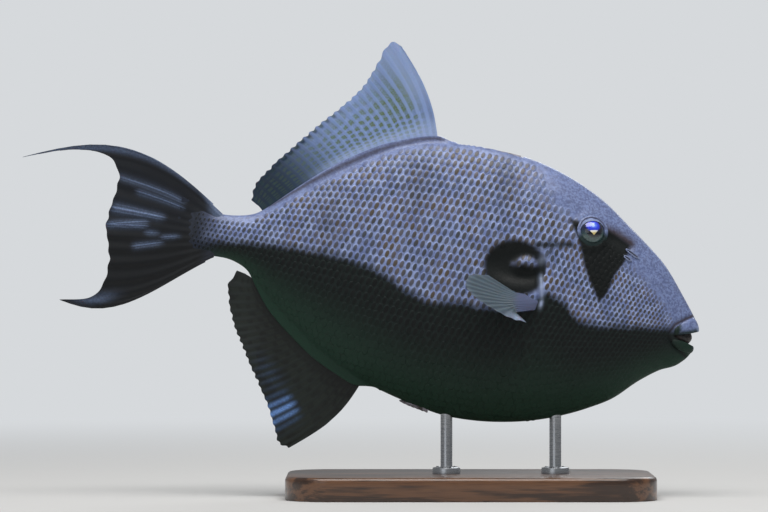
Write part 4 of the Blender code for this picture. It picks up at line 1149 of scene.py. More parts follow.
@dataclass(frozen=True)
class ScaleNet:
    """A net of places on the flank, whose odd rows are set half a step on."""

    along: Curve
    apart: Curve
    anchor: float = 112.0
    reach: Pair = (12.0, 352.0)
    margin: float = 1.2

    def places(self, flank: Flank) -> tuple[Array, Array]:
        """Return how far behind the snout each place is, and its row.

        Args:
            flank: the flank that the net lies on.

        Returns:
            Two arrays of the same length.
        """
        table = np.linspace(*self.reach, 1400)
        steps = np.diff(table) / self.along(0.5 * (table[1:] + table[:-1]))
        count = np.concatenate(([0.0], np.cumsum(steps)))
        count -= np.interp(self.anchor, table, count)
        upper = np.interp(table, flank.behind, flank.upper)
        lower = np.interp(table, flank.behind, flank.length) - upper
        most = int(np.max(np.maximum(upper, lower) / self.apart(table))) + 1
        found = []
        for row in range(-most, most + 1):
            column = np.arange(math.ceil(count[0]), math.floor(count[-1])) + 0.5 * (row % 2)
            behind = np.interp(column, count, table)
            above = row * self.apart(behind)
            kept = above < np.interp(behind, table, upper) - self.margin
            kept &= above > self.margin - np.interp(behind, table, lower)
            found.append(np.column_stack((behind, np.full(len(behind), row)))[kept])
        behind, row = np.concatenate(found).T
        return behind, row

    def at(self, flank: Flank, behind: Array, row: Array) -> tuple[Array, Array]:
        """Return points of the right flank at places of the net, and the directions they face."""
        return flank.sample(behind, row * self.apart(behind))


@dataclass
class Skin:
    """One skin over head, body and tail root, with the jaws parted."""

    form: BodyForm
    markings: Markings
    flank: Flank
    finish: Material
    lining: Material
    jaws: Rows = ((12.0, 12.4), (-1.4, 1.6), (-4.6, -2.6), (-11.0, -6.6), (-17.0, -8.4), (-10.6, -11.0),
                  (-5.2, -13.6), (-1.6, -16.2), (12.0, -23.0))

    def build(self) -> Piece:
        """Make the skin, part the jaws, paint it and settle it."""
        right = self.flank.points
        left = right[:, -2:0:-1] * np.array((1.0, -1.0, 1.0))
        rings = np.concatenate((right, left), axis=1)
        skin = new_piece("skin", to_world(rings), ring_faces(*rings.shape[:2]), [self.finish, self.lining])
        cut(skin, self.wedge())
        smooth(skin.data, 50.0)
        self.markings.paint(skin.data)
        return settle(skin, Slot.SKIN, "head", "trunk", "tail_root")

    def wedge(self) -> Piece:
        """Return the wedge that parts the jaws."""
        rings = [[(x, y, z) for x, z in self.jaws] for y in np.linspace(-14.0, 14.0, 9)]
        faces = ring_faces(len(rings), len(self.jaws))
        return new_piece("mouth_wedge", to_world(rings), faces, [self.lining, self.lining])


@dataclass
class ScaleCoat:
    """Plates over the flanks, set by a geometry tree on two staggered nets, of head and body."""

    form: BodyForm
    markings: Markings
    flank: Flank
    finish: Material
    head: ScaleNet = ScaleNet(
        Curve(((0, 1.7), (14, 2.1), (30, 2.7), (60, 3.3), (95, 3.7), (112, 4.2), (120, 4.4))),
        Curve(((0, 1.9), (14, 2.2), (30, 2.75), (60, 3.5), (90, 4.35), (112, 4.95))))
    body: ScaleNet = ScaleNet(
        Curve(((60, 4.3), (150, 4.4), (250, 4.3), (300, 3.8), (335, 3.2), (362, 2.4))),
        Curve(((0, 4.95), (250, 4.95), (300, 4.2), (335, 3.4), (362, 2.7))))
    ledge: Curve = Curve((
        (12, 8), (30, 27), (45, 38), (57, 46), (74, 50), (85, 50.7), (93, 46), (97, 41),
        (112, 33)))
    nape: float = 78.0
    eye_reach: float = 11.4
    map_size: Pair = (370.0, 260.0)
    shares: Pair = (0.49, 0.595)
    plate_height: float = 0.46
    sunk: float = 0.22
    outline_points: int = 12
    patch: float = 0.003
    seed: int = 7

    def build(self) -> None:
        """Make the coat of each flank, in a head and a body piece."""
        plate = self.plate()
        for part, net in (("head", self.head), ("body", self.body)):
            behind, row = net.places(self.flank)
            point = net.at(self.flank, behind, row)[0]
            low = (behind < net.anchor) & (point[:, 2] < self.ledge(behind))
            kept = low if part == "head" else ~low & (behind > self.nape)
            kept &= ~self.bare(*point.T)
            for side in Side:
                self.lay(f"scales_{part}_{side.word}", net, behind[kept], row[kept], side, plate)
        bpy.data.objects.remove(plate)

    def bare(self, x: Array, y: Array, z: Array) -> Array:
        """Return which places carry no plate."""
        form = self.form
        bare = np.hypot(x - form.eye[0], z - form.eye[1]) < self.eye_reach
        behind_gill = [(gx - 3.2, gz) for gx, gz in form.gill_edge]
        for path, reach in ((form.groove, 3.2), (form.upper_fold, 1.6), (form.lower_fold, 1.6),
                            (form.gill_edge, 2.4), (behind_gill, 1.8)):
            bare |= path_distance(x, z, path) < reach
        lips = (x + 20.0) / 16.0
        bare |= (lips > 0) & (z < mixed(-6.0, 8.5, lips)) & (z > mixed(-9.5, -21.5, lips))
        below_back = form.back(-x) - z
        bare |= below_back < 22.0 * ease(-x, 142.0, 104.0)
        # No plates inside the painted shadow of the hollow, except on the boss.
        centre, (wide, high) = self.markings.hollow
        pit = (x < self.markings.hollow_front) & (oval(x, z, centre, (wide - 2.0, high - 4.0)) < 1.0)
        boss = form.bosses[0]
        bare |= pit & (oval(x, z, boss[:2], boss[2:4]) > 0.95)
        edge = np.where(z > 0, 4.6 + 1.6 * ease(-x, 200.0, 185.0), 3.0)
        edge = np.minimum(edge, 0.6 * form.half_width(-x))
        return bare | (np.abs(y) < edge)

    def plate(self) -> Piece:
        """Return one plate: a low dome on an oval, one unit wide and high."""
        n = self.outline_points
        points = np.concatenate((turned(((0.9, -1.2), (1.0, 0.0), (0.86, 0.5), (0.5, 0.88)), n),
                                 ((0.0, 0.0, 1.0),)))
        faces = ring_faces(4, n, caps=False) + [tuple(range(n))]
        faces += [(3 * n + k, 3 * n + (k + 1) % n, 4 * n) for k in range(n)]
        return new_piece("plate", points, faces, [self.finish])

    def cells(self, net: ScaleNet, behind: Array, row: Array) -> tuple[Array, Array]:
        """Return the long and short direction of each plate, and its half sizes along them."""
        half = 0.5 * net.along(behind)
        apart, sample = net.apart(behind), self.flank.sample
        along = net.at(self.flank, behind + half, row)[0] - net.at(self.flank, behind - half, row)[0]
        up = sample(behind, (row + 0.5) * apart)[0] - sample(behind, (row - 0.5) * apart)[0]
        cell = np.stack((along * self.shares[0], up * self.shares[1]), axis=2)
        axes, sizes, _ = np.linalg.svd(cell, full_matrices=False)
        return axes, sizes

    def lay(self, name: str, net: ScaleNet, behind: Array, row: Array, side: Side, plate: Piece) -> None:
        """Set one piece of the coat.

        Args:
            name: the piece's name.
            net: the net that the plates stand on.
            behind: distances of the plates behind the snout.
            row: the row of each.
            side: which flank.
            plate: the plate.
        """
        draw = np.random.default_rng(self.seed + side.value)
        mirror = np.array((1.0, -float(side.value), 1.0))
        point, normal = (v * mirror for v in net.at(self.flank, behind, row))
        axes, sizes = self.cells(net, behind, row)
        up = unit(normal + draw.normal(0.0, 0.03, normal.shape))
        tall = axes[:, :, 0] * mirror
        tall = unit(tall - up * np.sum(tall * up, axis=1, keepdims=True))
        wide = np.cross(tall, up)
        marks = self.markings.at(point[:, 0], point[:, 2])
        size = sizes[:, ::-1] * draw.normal(1.0, 0.03, (len(behind), 1))
        size *= mixed(1.0, 0.7, marks[Mark.TAIL])[:, None]
        high = self.plate_height * mixed(1.0, 0.25, marks[Mark.PLAIN]) * mixed(1.0, 0.5, marks[Mark.DUSK])
        high *= np.clip(size[:, 0] / 2.1, 0.5, 1.1) * mixed(1.0, 0.3, marks[Mark.TAIL])
        base = point - normal * (self.sunk * high)[:, None]
        turns = [Matrix([list(c) for c in columns]).transposed().to_euler()
                 for columns in zip(wide @ POSE.T, tall @ POSE.T, up @ POSE.T)]
        spots = point_lines(to_world(base), turn=turns, size=np.column_stack((size, high)) * MM)
        coat = realized(spots, copies_tree(), {"Shape": plate, "Finish": self.finish}, name)
        coat.data.shade_smooth()
        self.markings.paint(coat.data)
        spot = np.column_stack((behind / self.map_size[0], 0.5 + row * net.apart(behind) / self.map_size[1]))
        each = len(plate.data.vertices)
        local = np.tile(mesh_points(plate.data)[:, :2], (len(behind), 1))
        store_map(coat.data, "OFBake", np.repeat(spot, each, axis=0) + local * 0.5 * self.patch)
        chance = np.repeat(draw.uniform(0.0, 1.0, len(behind)), each)
        store(coat.data, "plate", np.column_stack((-side.value * local[:, 0], local[:, 1], chance)))
        settle(coat, Slot.SKIN)


@dataclass
class Lips:
    """Two soft lips round the parted jaws, and the lining between them, painted dark as shade."""

    form: BodyForm
    finish: Material
    lining: Material
    upper: tuple[Curve, Curve] = (
        Curve(((0.0, -16.8, -3.4), (0.45, -12.2, 1.4), (1.0, -5.2, 6.4))),
        Curve(((0.0, -16.4, -7.8), (0.45, -10.6, -6.4), (0.75, -5.0, -4.6), (1.0, -0.5, -2.8))))
    lower: tuple[Curve, Curve] = (
        Curve(((0.0, -16.6, -10.6), (0.5, -9.6, -10.8), (1.0, -2.0, -12.8))),
        Curve(((0.0, -16.8, -14.0), (0.5, -11.6, -17.0), (1.0, -3.6, -18.4))))
    depths: Pair = (1.3, 1.9)
    blunt: float = 0.8
    sink: float = 1.0
    hollow: tuple = ((-12.0, 0.0, -8.0), (8.6, 6.6, 6.4))
    steps: int = 60
    sides: int = 24

    def build(self) -> None:
        """Make both lips and the lining."""
        self.lip("lip_upper", self.upper)
        self.lip("lip_lower", self.lower)
        settle(new_ball("mouth_lining", *self.hollow, self.lining), Slot.SKIN)

    def lip(self, name: str, edges: tuple[Curve, Curve]) -> None:
        """Make one lip, from corner to corner round the front.

        Args:
            name: the piece's name.
            edges: its upper and lower edge in side view, from the corner to the front.
        """
        turn = np.radians(np.linspace(-90.0, 90.0, self.steps + 1))
        share = np.cos(turn)
        top, low = (edge(share) for edge in edges)
        middle, half = 0.5 * (top + low), 0.5 * (top - low)
        corner = self.form.flank_y(*middle[0]) - self.sink
        across = corner * np.sign(turn) * np.abs(np.sin(turn)) ** self.blunt
        ahead, aside = np.gradient(middle[:, 0]), np.gradient(across)
        length = np.hypot(ahead, aside)
        roll = circle(self.sides)
        lift = np.sin(roll)[None, :]
        reach = (mixed(*self.depths, share) * (1 + 0.03 * np.sin(turn * 34)))[:, None] * np.cos(roll)[None, :]
        reach = reach * (1 - 0.18 * lift)
        x = middle[:, :1] + half[:, :1] * lift + (aside / length)[:, None] * reach
        y = across[:, None] - (ahead / length)[:, None] * reach
        z = middle[:, 1:] + half[:, 1:] * lift
        faces = ring_faces(self.steps + 1, self.sides)
        lip = new_piece(name, to_world(joined(x, y, z)), faces, [self.finish], SOFT_CREASE)
        share, lift = (v.ravel() for v in np.broadcast_arrays(share[:, None], lift))
        if name == "lip_upper":
            # Painted shade under the upper lip and at its rear, and a painted highlight at its front tip.
            dusk = np.maximum(0.9 * ease(lift, -0.2, -0.7), ease(share, 0.5, 0.2))
            glow = 0.6 * ease(share, 0.88, 1.0) * bell((lift + 0.5) / 0.45)
        else:
            # The lower lip is painted in shade all over, with a faint painted highlight at its tip.
            dusk = np.ones_like(share)
            glow = 0.1 * ease(share, 0.9, 1.0) * ease(lift, -0.2, 0.5)
        store_marks(lip.data, {Mark.DUSK: dusk * (1 - glow), Mark.BELLY: 0.2 + 0.6 * share, Mark.PLAIN: 0.8,
                               Mark.GLOW: glow}, share.shape)
        settle(lip, Slot.SKIN)


@dataclass
class Eye:
    """Globe and ring of lid skin on one side."""

    form: BodyForm
    side: Side
    globe_finish: Material
    lid_finish: Material
    radius: float = 9.9
    inset: float = 5.1
    outer: float = 11.4
    openings: tuple[float, float, float] = (8.6, 5.9, 8.5)
    thick: float = 0.45
    profile: int = 32
    around: int = 96

    def build(self) -> None:
        """Make the globe and the lid ring, upright in the world."""
        surface, look, up, ahead = self.form.frame_at(*self.form.eye, self.side, POSE[2])
        self.globe(surface - look * self.inset, look, up, ahead)
        self.lids(surface, look, up, ahead)

    def globe(self, centre: Array, look: Array, up: Array, ahead: Array) -> None:
        """Make the globe, with each point's place round the axis kept on it."""
        bend = np.linspace(0.0, math.pi, 33)[1:-1]
        flat = turned(np.column_stack((np.sin(bend), np.cos(bend))), self.around)
        local = np.concatenate((flat, ((0.0, 0.0, 1.0), (0.0, 0.0, -1.0)))) * self.radius
        points = centre + local[:, :1] * ahead + local[:, 1:2] * up + local[:, 2:] * look
        faces = ring_faces(len(bend), self.around, caps=False)
        first, last = len(flat), len(flat) + 1
        end = len(flat) - self.around
        faces += [(k, (k + 1) % self.around, first) for k in range(self.around)]
        faces += [(end + (k + 1) % self.around, end + k, last) for k in range(self.around)]
        globe = new_piece(f"globe_{self.side.word}", to_world(points), faces, [self.globe_finish])
        gaze = local * np.array((1.0, 1.0, 0.0))
        gaze[local[:, 2] < 0] = (self.radius, 0.0, 0.0)
        store(globe.data, "gaze", gaze)
        settle(globe, Slot.EYE, f"eye_{self.side.word}")

    def lids(self, surface: Array, look: Array, up: Array, ahead: Array) -> None:
        """Make the ring of lid skin, which covers the globe's top."""
        spin = circle(self.around)[:, None]
        side, top, bottom = self.openings
        rise = np.sin(spin)
        inner = side + (top - side) * np.clip(rise, 0, 1) ** 1.6 + (bottom - side) * np.clip(-rise, 0, 1)
        half = self.profile // 2
        share = np.concatenate((np.linspace(0.0, 1.0, half), np.linspace(1.0, 0.0, half)))[None, :]
        under = (np.arange(self.profile) >= half)[None, :]
        radius = mixed(inner, self.outer, share)
        globe = np.sqrt(np.maximum(self.radius ** 2 - radius ** 2, 0.0)) - self.inset
        height = np.maximum(globe, -0.2) + self.thick * np.sqrt(np.clip(1.04 - share, 0, 1))
        height = height + 0.45 * bell((radius - 9.6) / 0.9) * ease(rise, -0.8, 0.2)
        height = height - 0.5 * ease(share, 0.8, 1.0)
        height = np.where(under, height - mixed(self.thick + 0.25, 1.6, share), height)
        radius = radius * (1 + 0.008 * np.sin(spin * 9))
        out = np.cos(spin)[..., None] * ahead + rise[..., None] * up
        points = surface + out * radius[..., None] + look * height[..., None]
        faces = ring_faces(self.around, self.profile, caps=False, closed=True)
        lid = new_piece(f"lid_{self.side.word}", to_world(points), faces, [self.lid_finish], SOFT_CREASE)
        # Painted shade darkens the lid's lower part; its inner edge above is paler.
        above, low = ease(rise, 0.0, 0.5), ease(rise, 0.05, -0.5)
        store_marks(lid.data, {Mark.DUSK: low * 0.97, Mark.BELLY: 0.3, Mark.PLAIN: 1.0,
                               Mark.WARM: 0.8 * bell((radius - 9.2) / 0.4) * above,
                               Mark.GLOW: 0.2 * ease(radius, 9.0, 7.4) * (1 - low)}, radius.shape)
        settle(lid, Slot.SKIN)


@dataclass
class Nostrils:
    """Two slits on each side, each with a raised rim."""

    form: BodyForm
    rim_finish: Material
    lining: Material
    places: Rows = ((-54.8, 40.6, 5.2), (-57.4, 36.9, 2.8))
    narrow: float = 0.95
    rim: float = 0.6
    slope: float = 27.0
    around: int = 40
    sides: int = 8

    def build(self) -> None:
        """Make the rims and the pits inside them, whose dark lining is painted shade."""
        for side in Side:
            rims, pits = [], []
            for x, z, half_long in self.places:
                surface, look, up, ahead = self.form.frame_at(x, z, side, np.array((0.0, 0.0, 1.0)))
                lean = math.radians(self.slope)
                long = ahead * math.cos(lean) - up * math.sin(lean)
                wide = ahead * math.sin(lean) + up * math.cos(lean)
                spin, roll = circle(self.around)[:, None, None], circle(self.sides)[None, :, None]
                reach = self.rim * np.cos(roll)
                points = (surface + long * np.cos(spin) * (half_long + reach)
                          + wide * np.sin(spin) * (self.narrow + reach) + look * self.rim * np.sin(roll))
                rims.append(points.reshape(-1, 3))
                flat = surface + (long * np.cos(spin) * half_long + wide * np.sin(spin) * self.narrow)[:, 0]
                pits.append(np.concatenate((flat + look * 0.12, flat - look * 1.6)))
            faces = ring_faces(self.around, self.sides, caps=False, closed=True)
            self.join(f"nostril_rims_{side.word}", rims, faces, self.rim_finish)
            self.join(f"nostril_pits_{side.word}", pits, ring_faces(2, self.around), self.lining)

    def join(self, name: str, shapes: list[Array], faces: list, finish: Material) -> None:
        """Make one piece of several like shapes."""
        faces = repeated(faces, len(shapes), len(shapes[0]))
        piece = new_piece(name, to_world(shapes), faces, [finish], SOFT_CREASE)
        # The rims take a faint pale tone from the mark of pale rims and painted highlights.
        shares = {Mark.PLAIN: 1.0, Mark.WARM: 0.3, Mark.GLOW: 0.18}
        store_marks(piece.data, shares, (len(piece.data.vertices),))
        settle(piece, Slot.SKIN)


@dataclass
class Fin:
    """A thin fin: a membrane between rays that split towards its edge."""

    name: str
    nodes: tuple[str, ...]
    slot: Slot
    rays: int
    finish: Material
    ray_finish: Material
    place: Place
    facing: Array
    half: Place
    shares: Callable[[Array, Array], dict[str, Array]]
    per_ray: int = 8
    rows: int = 40
    pleat: float = 0.28
    ray_radius: Pair = (0.52, 0.13)
    notch: float = 0.9
    split: Pair = (0.45, 0.75)
    spread: Pair = (0.2, 0.1)
    ray_start: float = 0.0
    seed: int = 3

    def sheet(self, u: Array, v: Array) -> Array:
        """Return points of the middle sheet, pleated and notched between its rays."""
        phase = u * (self.rays - 1)
        between = 0.5 - 0.5 * np.cos(2 * np.pi * phase)
        draw = np.random.default_rng(self.seed).uniform(0.6, 1.5, self.rays + 1)
        depth = self.notch * draw[np.clip(phase.astype(int), 0, self.rays)]
        point = self.place(u, v)
        step = 0.02
        outward = unit(point - self.place(u, np.maximum(v - step, 0.0)))
        point = point - outward * (depth * between * np.clip((v - 0.9) / 0.1, 0.0, 1.0))[..., None]
        wave = self.pleat * np.sin(2 * np.pi * phase) * v
        return point + self.facing * wave[..., None]

    def build(self) -> None:
        """Make the membrane and its rays."""
        self.membrane()
        self.ray_lines()

    def membrane(self) -> None:
        """Make the closed membrane, split alike on both faces."""
        columns = (self.rays - 1) * self.per_ray + 1
        u, v = np.meshgrid(np.linspace(0.0, 1.0, columns), np.linspace(0.0, 1.0, self.rows + 1),
                           indexing="ij")
        middle = self.sheet(u, v)
        thick = self.facing * self.half(u, v)[..., None]
        rows, shift = self.rows + 1, u.size
        faces = sheet_faces(columns, rows) + sheet_faces(columns, rows, shift, flip=True)
        grid = np.arange(shift).reshape(u.shape)
        rim = np.concatenate((grid[:, 0], grid[-1, 1:], grid[-2::-1, -1], grid[0, -2:0:-1])).tolist()
        for a, b in zip(rim, rim[1:] + rim[:1]):
            faces += [(a, b, b + shift), (a, b + shift, a + shift)]
        points = to_world(np.stack((middle - thick, middle + thick)))
        piece = new_piece(self.name + "_web", points, faces, [self.finish], SOFT_CREASE)
        self.dress(piece, np.tile(u.ravel(), 2), np.tile(v.ravel(), 2))
        settle(piece, self.slot, *self.nodes)

    def dress(self, piece: Piece, u: Array, v: Array) -> None:
        """Keep the fin map and the fin's shares of colour on a piece."""
        for name, share in self.shares(u, v).items():
            store(piece.data, name, np.broadcast_to(share, u.shape))
        store_map(piece.data, "fin", np.column_stack((u * (self.rays - 1), v)))

    def ray_lines(self) -> None:
        """Make the rays as tapering tubes along lines of points."""
        lines, where = [], []
        gap = 1 / (self.rays - 1)
        for ray in range(self.rays):
            middle = np.clip(ray * gap, 0.004, 0.996)
            steps = [(0.0, self.ray_start, self.split[0] + 0.01, 14)]
            steps += [(s * self.spread[0], self.split[0] - 0.01, self.split[1] + 0.01, 9) for s in (-1, 1)]
            steps += [(s * self.spread[0] + t * self.spread[1], self.split[1] - 0.01, 0.995, 7)
                      for s in (-1, 1) for t in (-1, 1)]
            for offset, start, end, count in steps:
                v = np.linspace(start, end, count)
                before = 0.0 if start < self.split[1] - 0.1 else math.copysign(self.spread[0], offset)
                fan = ease(v, start, end)
                u = np.clip(middle + gap * mixed(before, offset, fan), 0.0, 1.0)
                lines.append(self.sheet(u, v))
                where.append(np.column_stack((u, v)))
        points, spots = np.concatenate(lines), np.concatenate(where)
        radius = mixed(*self.ray_radius, spots[:, 1] ** 0.8)
        edges, start = [], 0
        for line in lines:
            edges += [(start + k, start + k + 1) for k in range(len(line) - 1)]
            start += len(line)
        source = point_lines(to_world(points), edges, thick=radius * MM, spot_u=spots[:, 0],
                             spot_v=spots[:, 1])
        tree = bpy.data.node_groups.get("swept_rays") or self.tree()
        rays = realized(source, tree, {"Finish": self.ray_finish, "Sides": 7}, self.name + "_rays")
        rays.data.shade_smooth()
        u, v = (self.read(rays.data, name) for name in ("spot_u", "spot_v"))
        self.dress(rays, u, v)
        settle(rays, self.slot)

    @staticmethod
    def read(mesh: Mesh, name: str) -> Array:
        """Return a value that a mesh keeps at its points."""
        values = np.empty(len(mesh.vertices))
        mesh.attributes[name].data.foreach_get("value", values)
        return values

    @staticmethod
    def tree() -> Tree:
        """Return the tree that sweeps a round tube along each line of points."""
        graph, given, result = geometry_group("swept_rays", {"Sides": "NodeSocketInt"})
        lines = graph.add("GeometryNodeMeshToCurve", {"Mesh": given["Geometry"]})
        ring = graph.add("GeometryNodeCurvePrimitiveCircle", {"Resolution": given["Sides"], "Radius": 1.0})
        tube = graph.add("GeometryNodeCurveToMesh", {
            "Curve": lines.outputs[0], "Profile Curve": ring.outputs[0],
            "Scale": kept_value(graph, "thick", "FLOAT"), "Fill Caps": True})
        return finished(graph, tube.outputs[0], given["Finish"], result)


@dataclass
class MedianFins:
    """The soft dorsal and anal fins, on the middle line."""

    form: BodyForm
    dorsal_finish: Material
    anal_finish: Material
    dorsal_ray: Material
    anal_ray: Material
    dorsal_rays: int = 27
    dorsal_base: Pair = (199.5, 306.5)
    dorsal_edge: Curve = Curve((
        (0, -235.6, 148.8), (0.03, -241.4, 151), (0.06, -245.6, 146.8), (0.11, -249.4, 135),
        (0.22, -255.2, 119), (0.36, -266, 103), (0.52, -280.6, 85.8), (0.7, -296.4, 65.4),
        (0.85, -309.4, 47.2), (0.95, -315.6, 34.6), (1, -315.4, 26.4)))
    dorsal_bow: Curve = Curve(((0.0, 5.4), (0.3, 3.4), (0.7, 1.6), (1.0, 1.0)))
    anal_rays: int = 24
    anal_base: Pair = (219.0, 304.5)
    anal_edge: Curve = Curve((
        (0, -258, -134), (0.06, -265, -132.4), (0.14, -269.6, -123.6), (0.28, -278.6, -107),
        (0.45, -290.6, -90), (0.62, -302.6, -72.4), (0.78, -312.6, -56), (0.9, -318.4, -40.4),
        (0.97, -319.6, -30), (1, -316, -22.6)))
    anal_bow: Curve = Curve(((0.0, 6.4), (0.3, 3.4), (0.7, 1.6), (1.0, 2.0)))
    sway: float = 3.0
    sway_wave: Pair = (0.2, 1.7)
    sink: float = 1.2

    def build(self) -> None:
        """Make both fins."""
        facing = np.array((0.0, 1.0, 0.0))

        def thin(_: Array, v: Array) -> Array:
            """Return half the thickness."""
            return mixed(0.55, 0.16, v)

        Fin("dorsal", ("dorsal_fin",), Slot.FIN_PALE, self.dorsal_rays, self.dorsal_finish, self.dorsal_ray,
            self.placer(self.dorsal_base, self.dorsal_edge, self.dorsal_bow, self.sway, 1.0), facing,
            thin, self.dorsal_shares).build()
        Fin("anal", ("anal_fin",), Slot.FIN_DARK, self.anal_rays, self.anal_finish, self.anal_ray,
            self.placer(self.anal_base, self.anal_edge, self.anal_bow, -self.sway, -1.0), facing,
            thin, self.anal_shares, pleat=0.17, seed=5).build()

    def dorsal_shares(self, u: Array, v: Array) -> dict[str, Array]:
        """Return the dorsal fin's shares of colour."""
        between = 0.5 - 0.5 * np.cos(2 * np.pi * u * (self.dorsal_rays - 1))
        deep = 0.95 * ease(u, 0.42, 0.92) + 0.25 * ease(u, 0.07, 0.0)
        # Painted shadow in the notches between the rear ray tips.
        deep = deep + 0.8 * between * ease(v, 0.84, 0.97) * ease(u, 0.3, 0.45)
        foot = 0.55 * ease(v, 0.3, 0.06) * ease(u, 0.8, 0.5) + 0.3 * ease(u, 0.14, 0.04) * ease(v, 0.2, 0.6)
        dashes = ease(v, 0.02, 0.1) * ease(u, 0.02, 0.12)
        dashes = dashes * mixed(1.0, 0.3, ease(u, 0.4, 0.9)) * mixed(1.0, 0.3, ease(v, 0.6, 0.95))
        patch = np.maximum(foot, 0.2 * ease(v, 0.9, 1.0) * (1 - u))
        return {"depth": np.clip(deep, 0.0, 1.0), "patch": patch,
                "dashes": dashes, "lines": 0.8 * ease(u, 0.34, 0.14) * ease(v, 0.3, 0.45)}

    def anal_shares(self, u: Array, v: Array) -> dict[str, Array]:
        """Return the anal fin's shares of colour."""
        rays = 0.55 + 0.45 * np.cos(2 * np.pi * u * (self.anal_rays - 1))
        # Painted highlight: a pale blue band on the rays.
        patch = bell((u - 0.215) / 0.058) * ease(v, 0.64, 0.78) * rays
        patch = patch + 0.09 * bell((u - 0.42) / 0.12) * bell((v - 0.8) / 0.15) * rays
        return {"depth": 0.4 + 0.5 * bell(v / 0.2) + 0.2 * np.sin(u * 9.0 + v * 5.0),
                "dashes": 0.5 * ease(v, 0.05, 0.2), "patch": np.clip(patch, 0.0, 0.9)}

    def placer(self, base: tuple[float, float], edge: Curve, bow: Curve, sway: float,
               upward: float) -> Place:
        """Return the function that places a median fin's sheet."""
        form = self.form

        def place(u: Array, v: Array) -> Array:
            """Return points at shares of the base and of the way out."""
            behind = mixed(*base, u)
            if upward > 0:
                height = form.back(behind) + np.maximum(form.dorsal_sheath(behind), 0.0) - self.sink
            else:
                height = form.belly(behind) - np.maximum(form.anal_sheath(behind), 0.0) + self.sink
            root, tip = joined(-behind, 0.0, height), edge(u)
            point = root + (joined(tip[..., 0], 0.0, tip[..., 1]) - root) * v[..., None]
            point[..., 0] += bow(u) * np.sin(np.pi * v)
            point[..., 1] += sway * np.sin(np.pi * mixed(*self.sway_wave, u)) * v * v
            return point

        return place


@dataclass
class CaudalFin:
    """The tail fin with its two drawn-out tips."""

    finish: Material
    ray_finish: Material
    start: float = 333.0
    root: Pair = (13.6, -16.8)
    edge: Curve = Curve((
        (0, -474.4, 24.7), (0.03, -452, 33.6), (0.07, -431, 38.2), (0.11, -417.6, 37),
        (0.16, -409.6, 30), (0.25, -407.2, 19), (0.4, -409, 2), (0.5, -409.6, -9),
        (0.62, -405.6, -21.4), (0.76, -402.6, -38), (0.86, -404.6, -52), (0.93, -411, -60),
        (1, -430.4, -65.2)))
    bow: Curve = Curve((
        (0, 25), (0.07, 12), (0.16, 5.4), (0.5, 0), (0.8, -5), (0.93, -10), (1, -16)))
    late: Curve = Curve(((0.0, 1.0), (0.5, 1.0), (1.0, 1.3)))
    sway: float = 2.5
    streaks: Rows = (
        (0.205, 0.42, 0.200, 1.00, 0.008, 0.45), (0.250, 0.42, 0.250, 0.83, 0.008, 0.55),
        (0.386, 0.56, 0.386, 0.98, 0.012, 0.75), (0.445, 0.68, 0.497, 0.99, 0.009, 0.60),
        (0.482, 0.68, 0.497, 1.00, 0.008, 0.65), (0.527, 0.58, 0.527, 0.68, 0.009, 0.50),
        (0.542, 0.40, 0.560, 0.55, 0.009, 0.50), (0.603, 0.55, 0.630, 0.79, 0.009, 0.55))
    strands: Rows = ((0.0, 0.55, 1.0), (1.9, 0.45, 0.55), (-1.7, 0.4, 0.4), (0.2, 3.2, 0.28))

    def place(self, u: Array, v: Array) -> Array:
        """Return points at shares of the spread and of the way out."""
        root, tip = joined(-self.start, 0.0, mixed(*self.root, u)), self.edge(u)
        out = v ** 1.15
        point = root + (joined(tip[..., 0], 0.0, tip[..., 1]) - root) * out[..., None]
        point[..., 2] += self.bow(u) * np.sin(np.pi * out ** self.late(u))
        point[..., 1] += self.sway * np.sin(np.pi * (u + 0.3)) * v * v
        return point

    def half(self, u: Array, v: Array) -> Array:
        """Return half the thickness, fleshy at the root."""
        flesh = 4.2 * np.maximum(np.sin(np.pi * np.clip(u, 0, 1)), 0.0) ** 0.6 * bell(v / 0.2)
        return flesh + mixed(0.75, 0.16, v)

    def shares(self, u: Array, v: Array) -> dict[str, Array]:
        """Return the fin's shares of colour."""
        # The lilac band along the upper edge carries painted sheen.
        patch = 0.3 * ease(u, 0.1, 0.02) * ease(v, 0.1, 0.4) + 0.35 * ease(u, 0.3, 0.05) * ease(v, 0.22, 0.06)
        patch = patch + 0.3 * bell((u - 0.935) / 0.04) * bell((v - 0.92) / 0.1)
        for first, near, last, far, wide, strength in self.streaks:
            middle = mixed(first, last, np.clip((v - near) / (far - near), 0.0, 1.0))
            run = strength * ease(v, near - 0.05, near + 0.05) * ease(v, far + 0.04, far - 0.04)
            for aside, thin, share in self.strands:
                patch = np.maximum(patch, share * run * bell((u - middle - aside * wide) / (thin * wide)))
        depth = ease(v, 0.0, 0.24) * mixed(0.72, 1.0, ease(u, 0.4, 0.7))
        return {"depth": depth, "patch": np.clip(patch, 0.0, 0.9)}

    def build(self) -> None:
        """Make the fin."""
        nodes = ("caudal_fin_upper", "caudal_fin_middle", "caudal_fin_lower", "caudal_tip_upper",
                 "caudal_tip_lower")
        Fin("caudal", nodes, Slot.FIN_DARK, 13, self.finish, self.ray_finish, self.place,
            np.array((0.0, 1.0, 0.0)), self.half, self.shares, per_ray=14, rows=60, pleat=0.3,
            ray_radius=(0.8, 0.16), notch=0.8, split=(0.3, 0.6), spread=(0.22, 0.11), ray_start=0.08,
            seed=11).build()


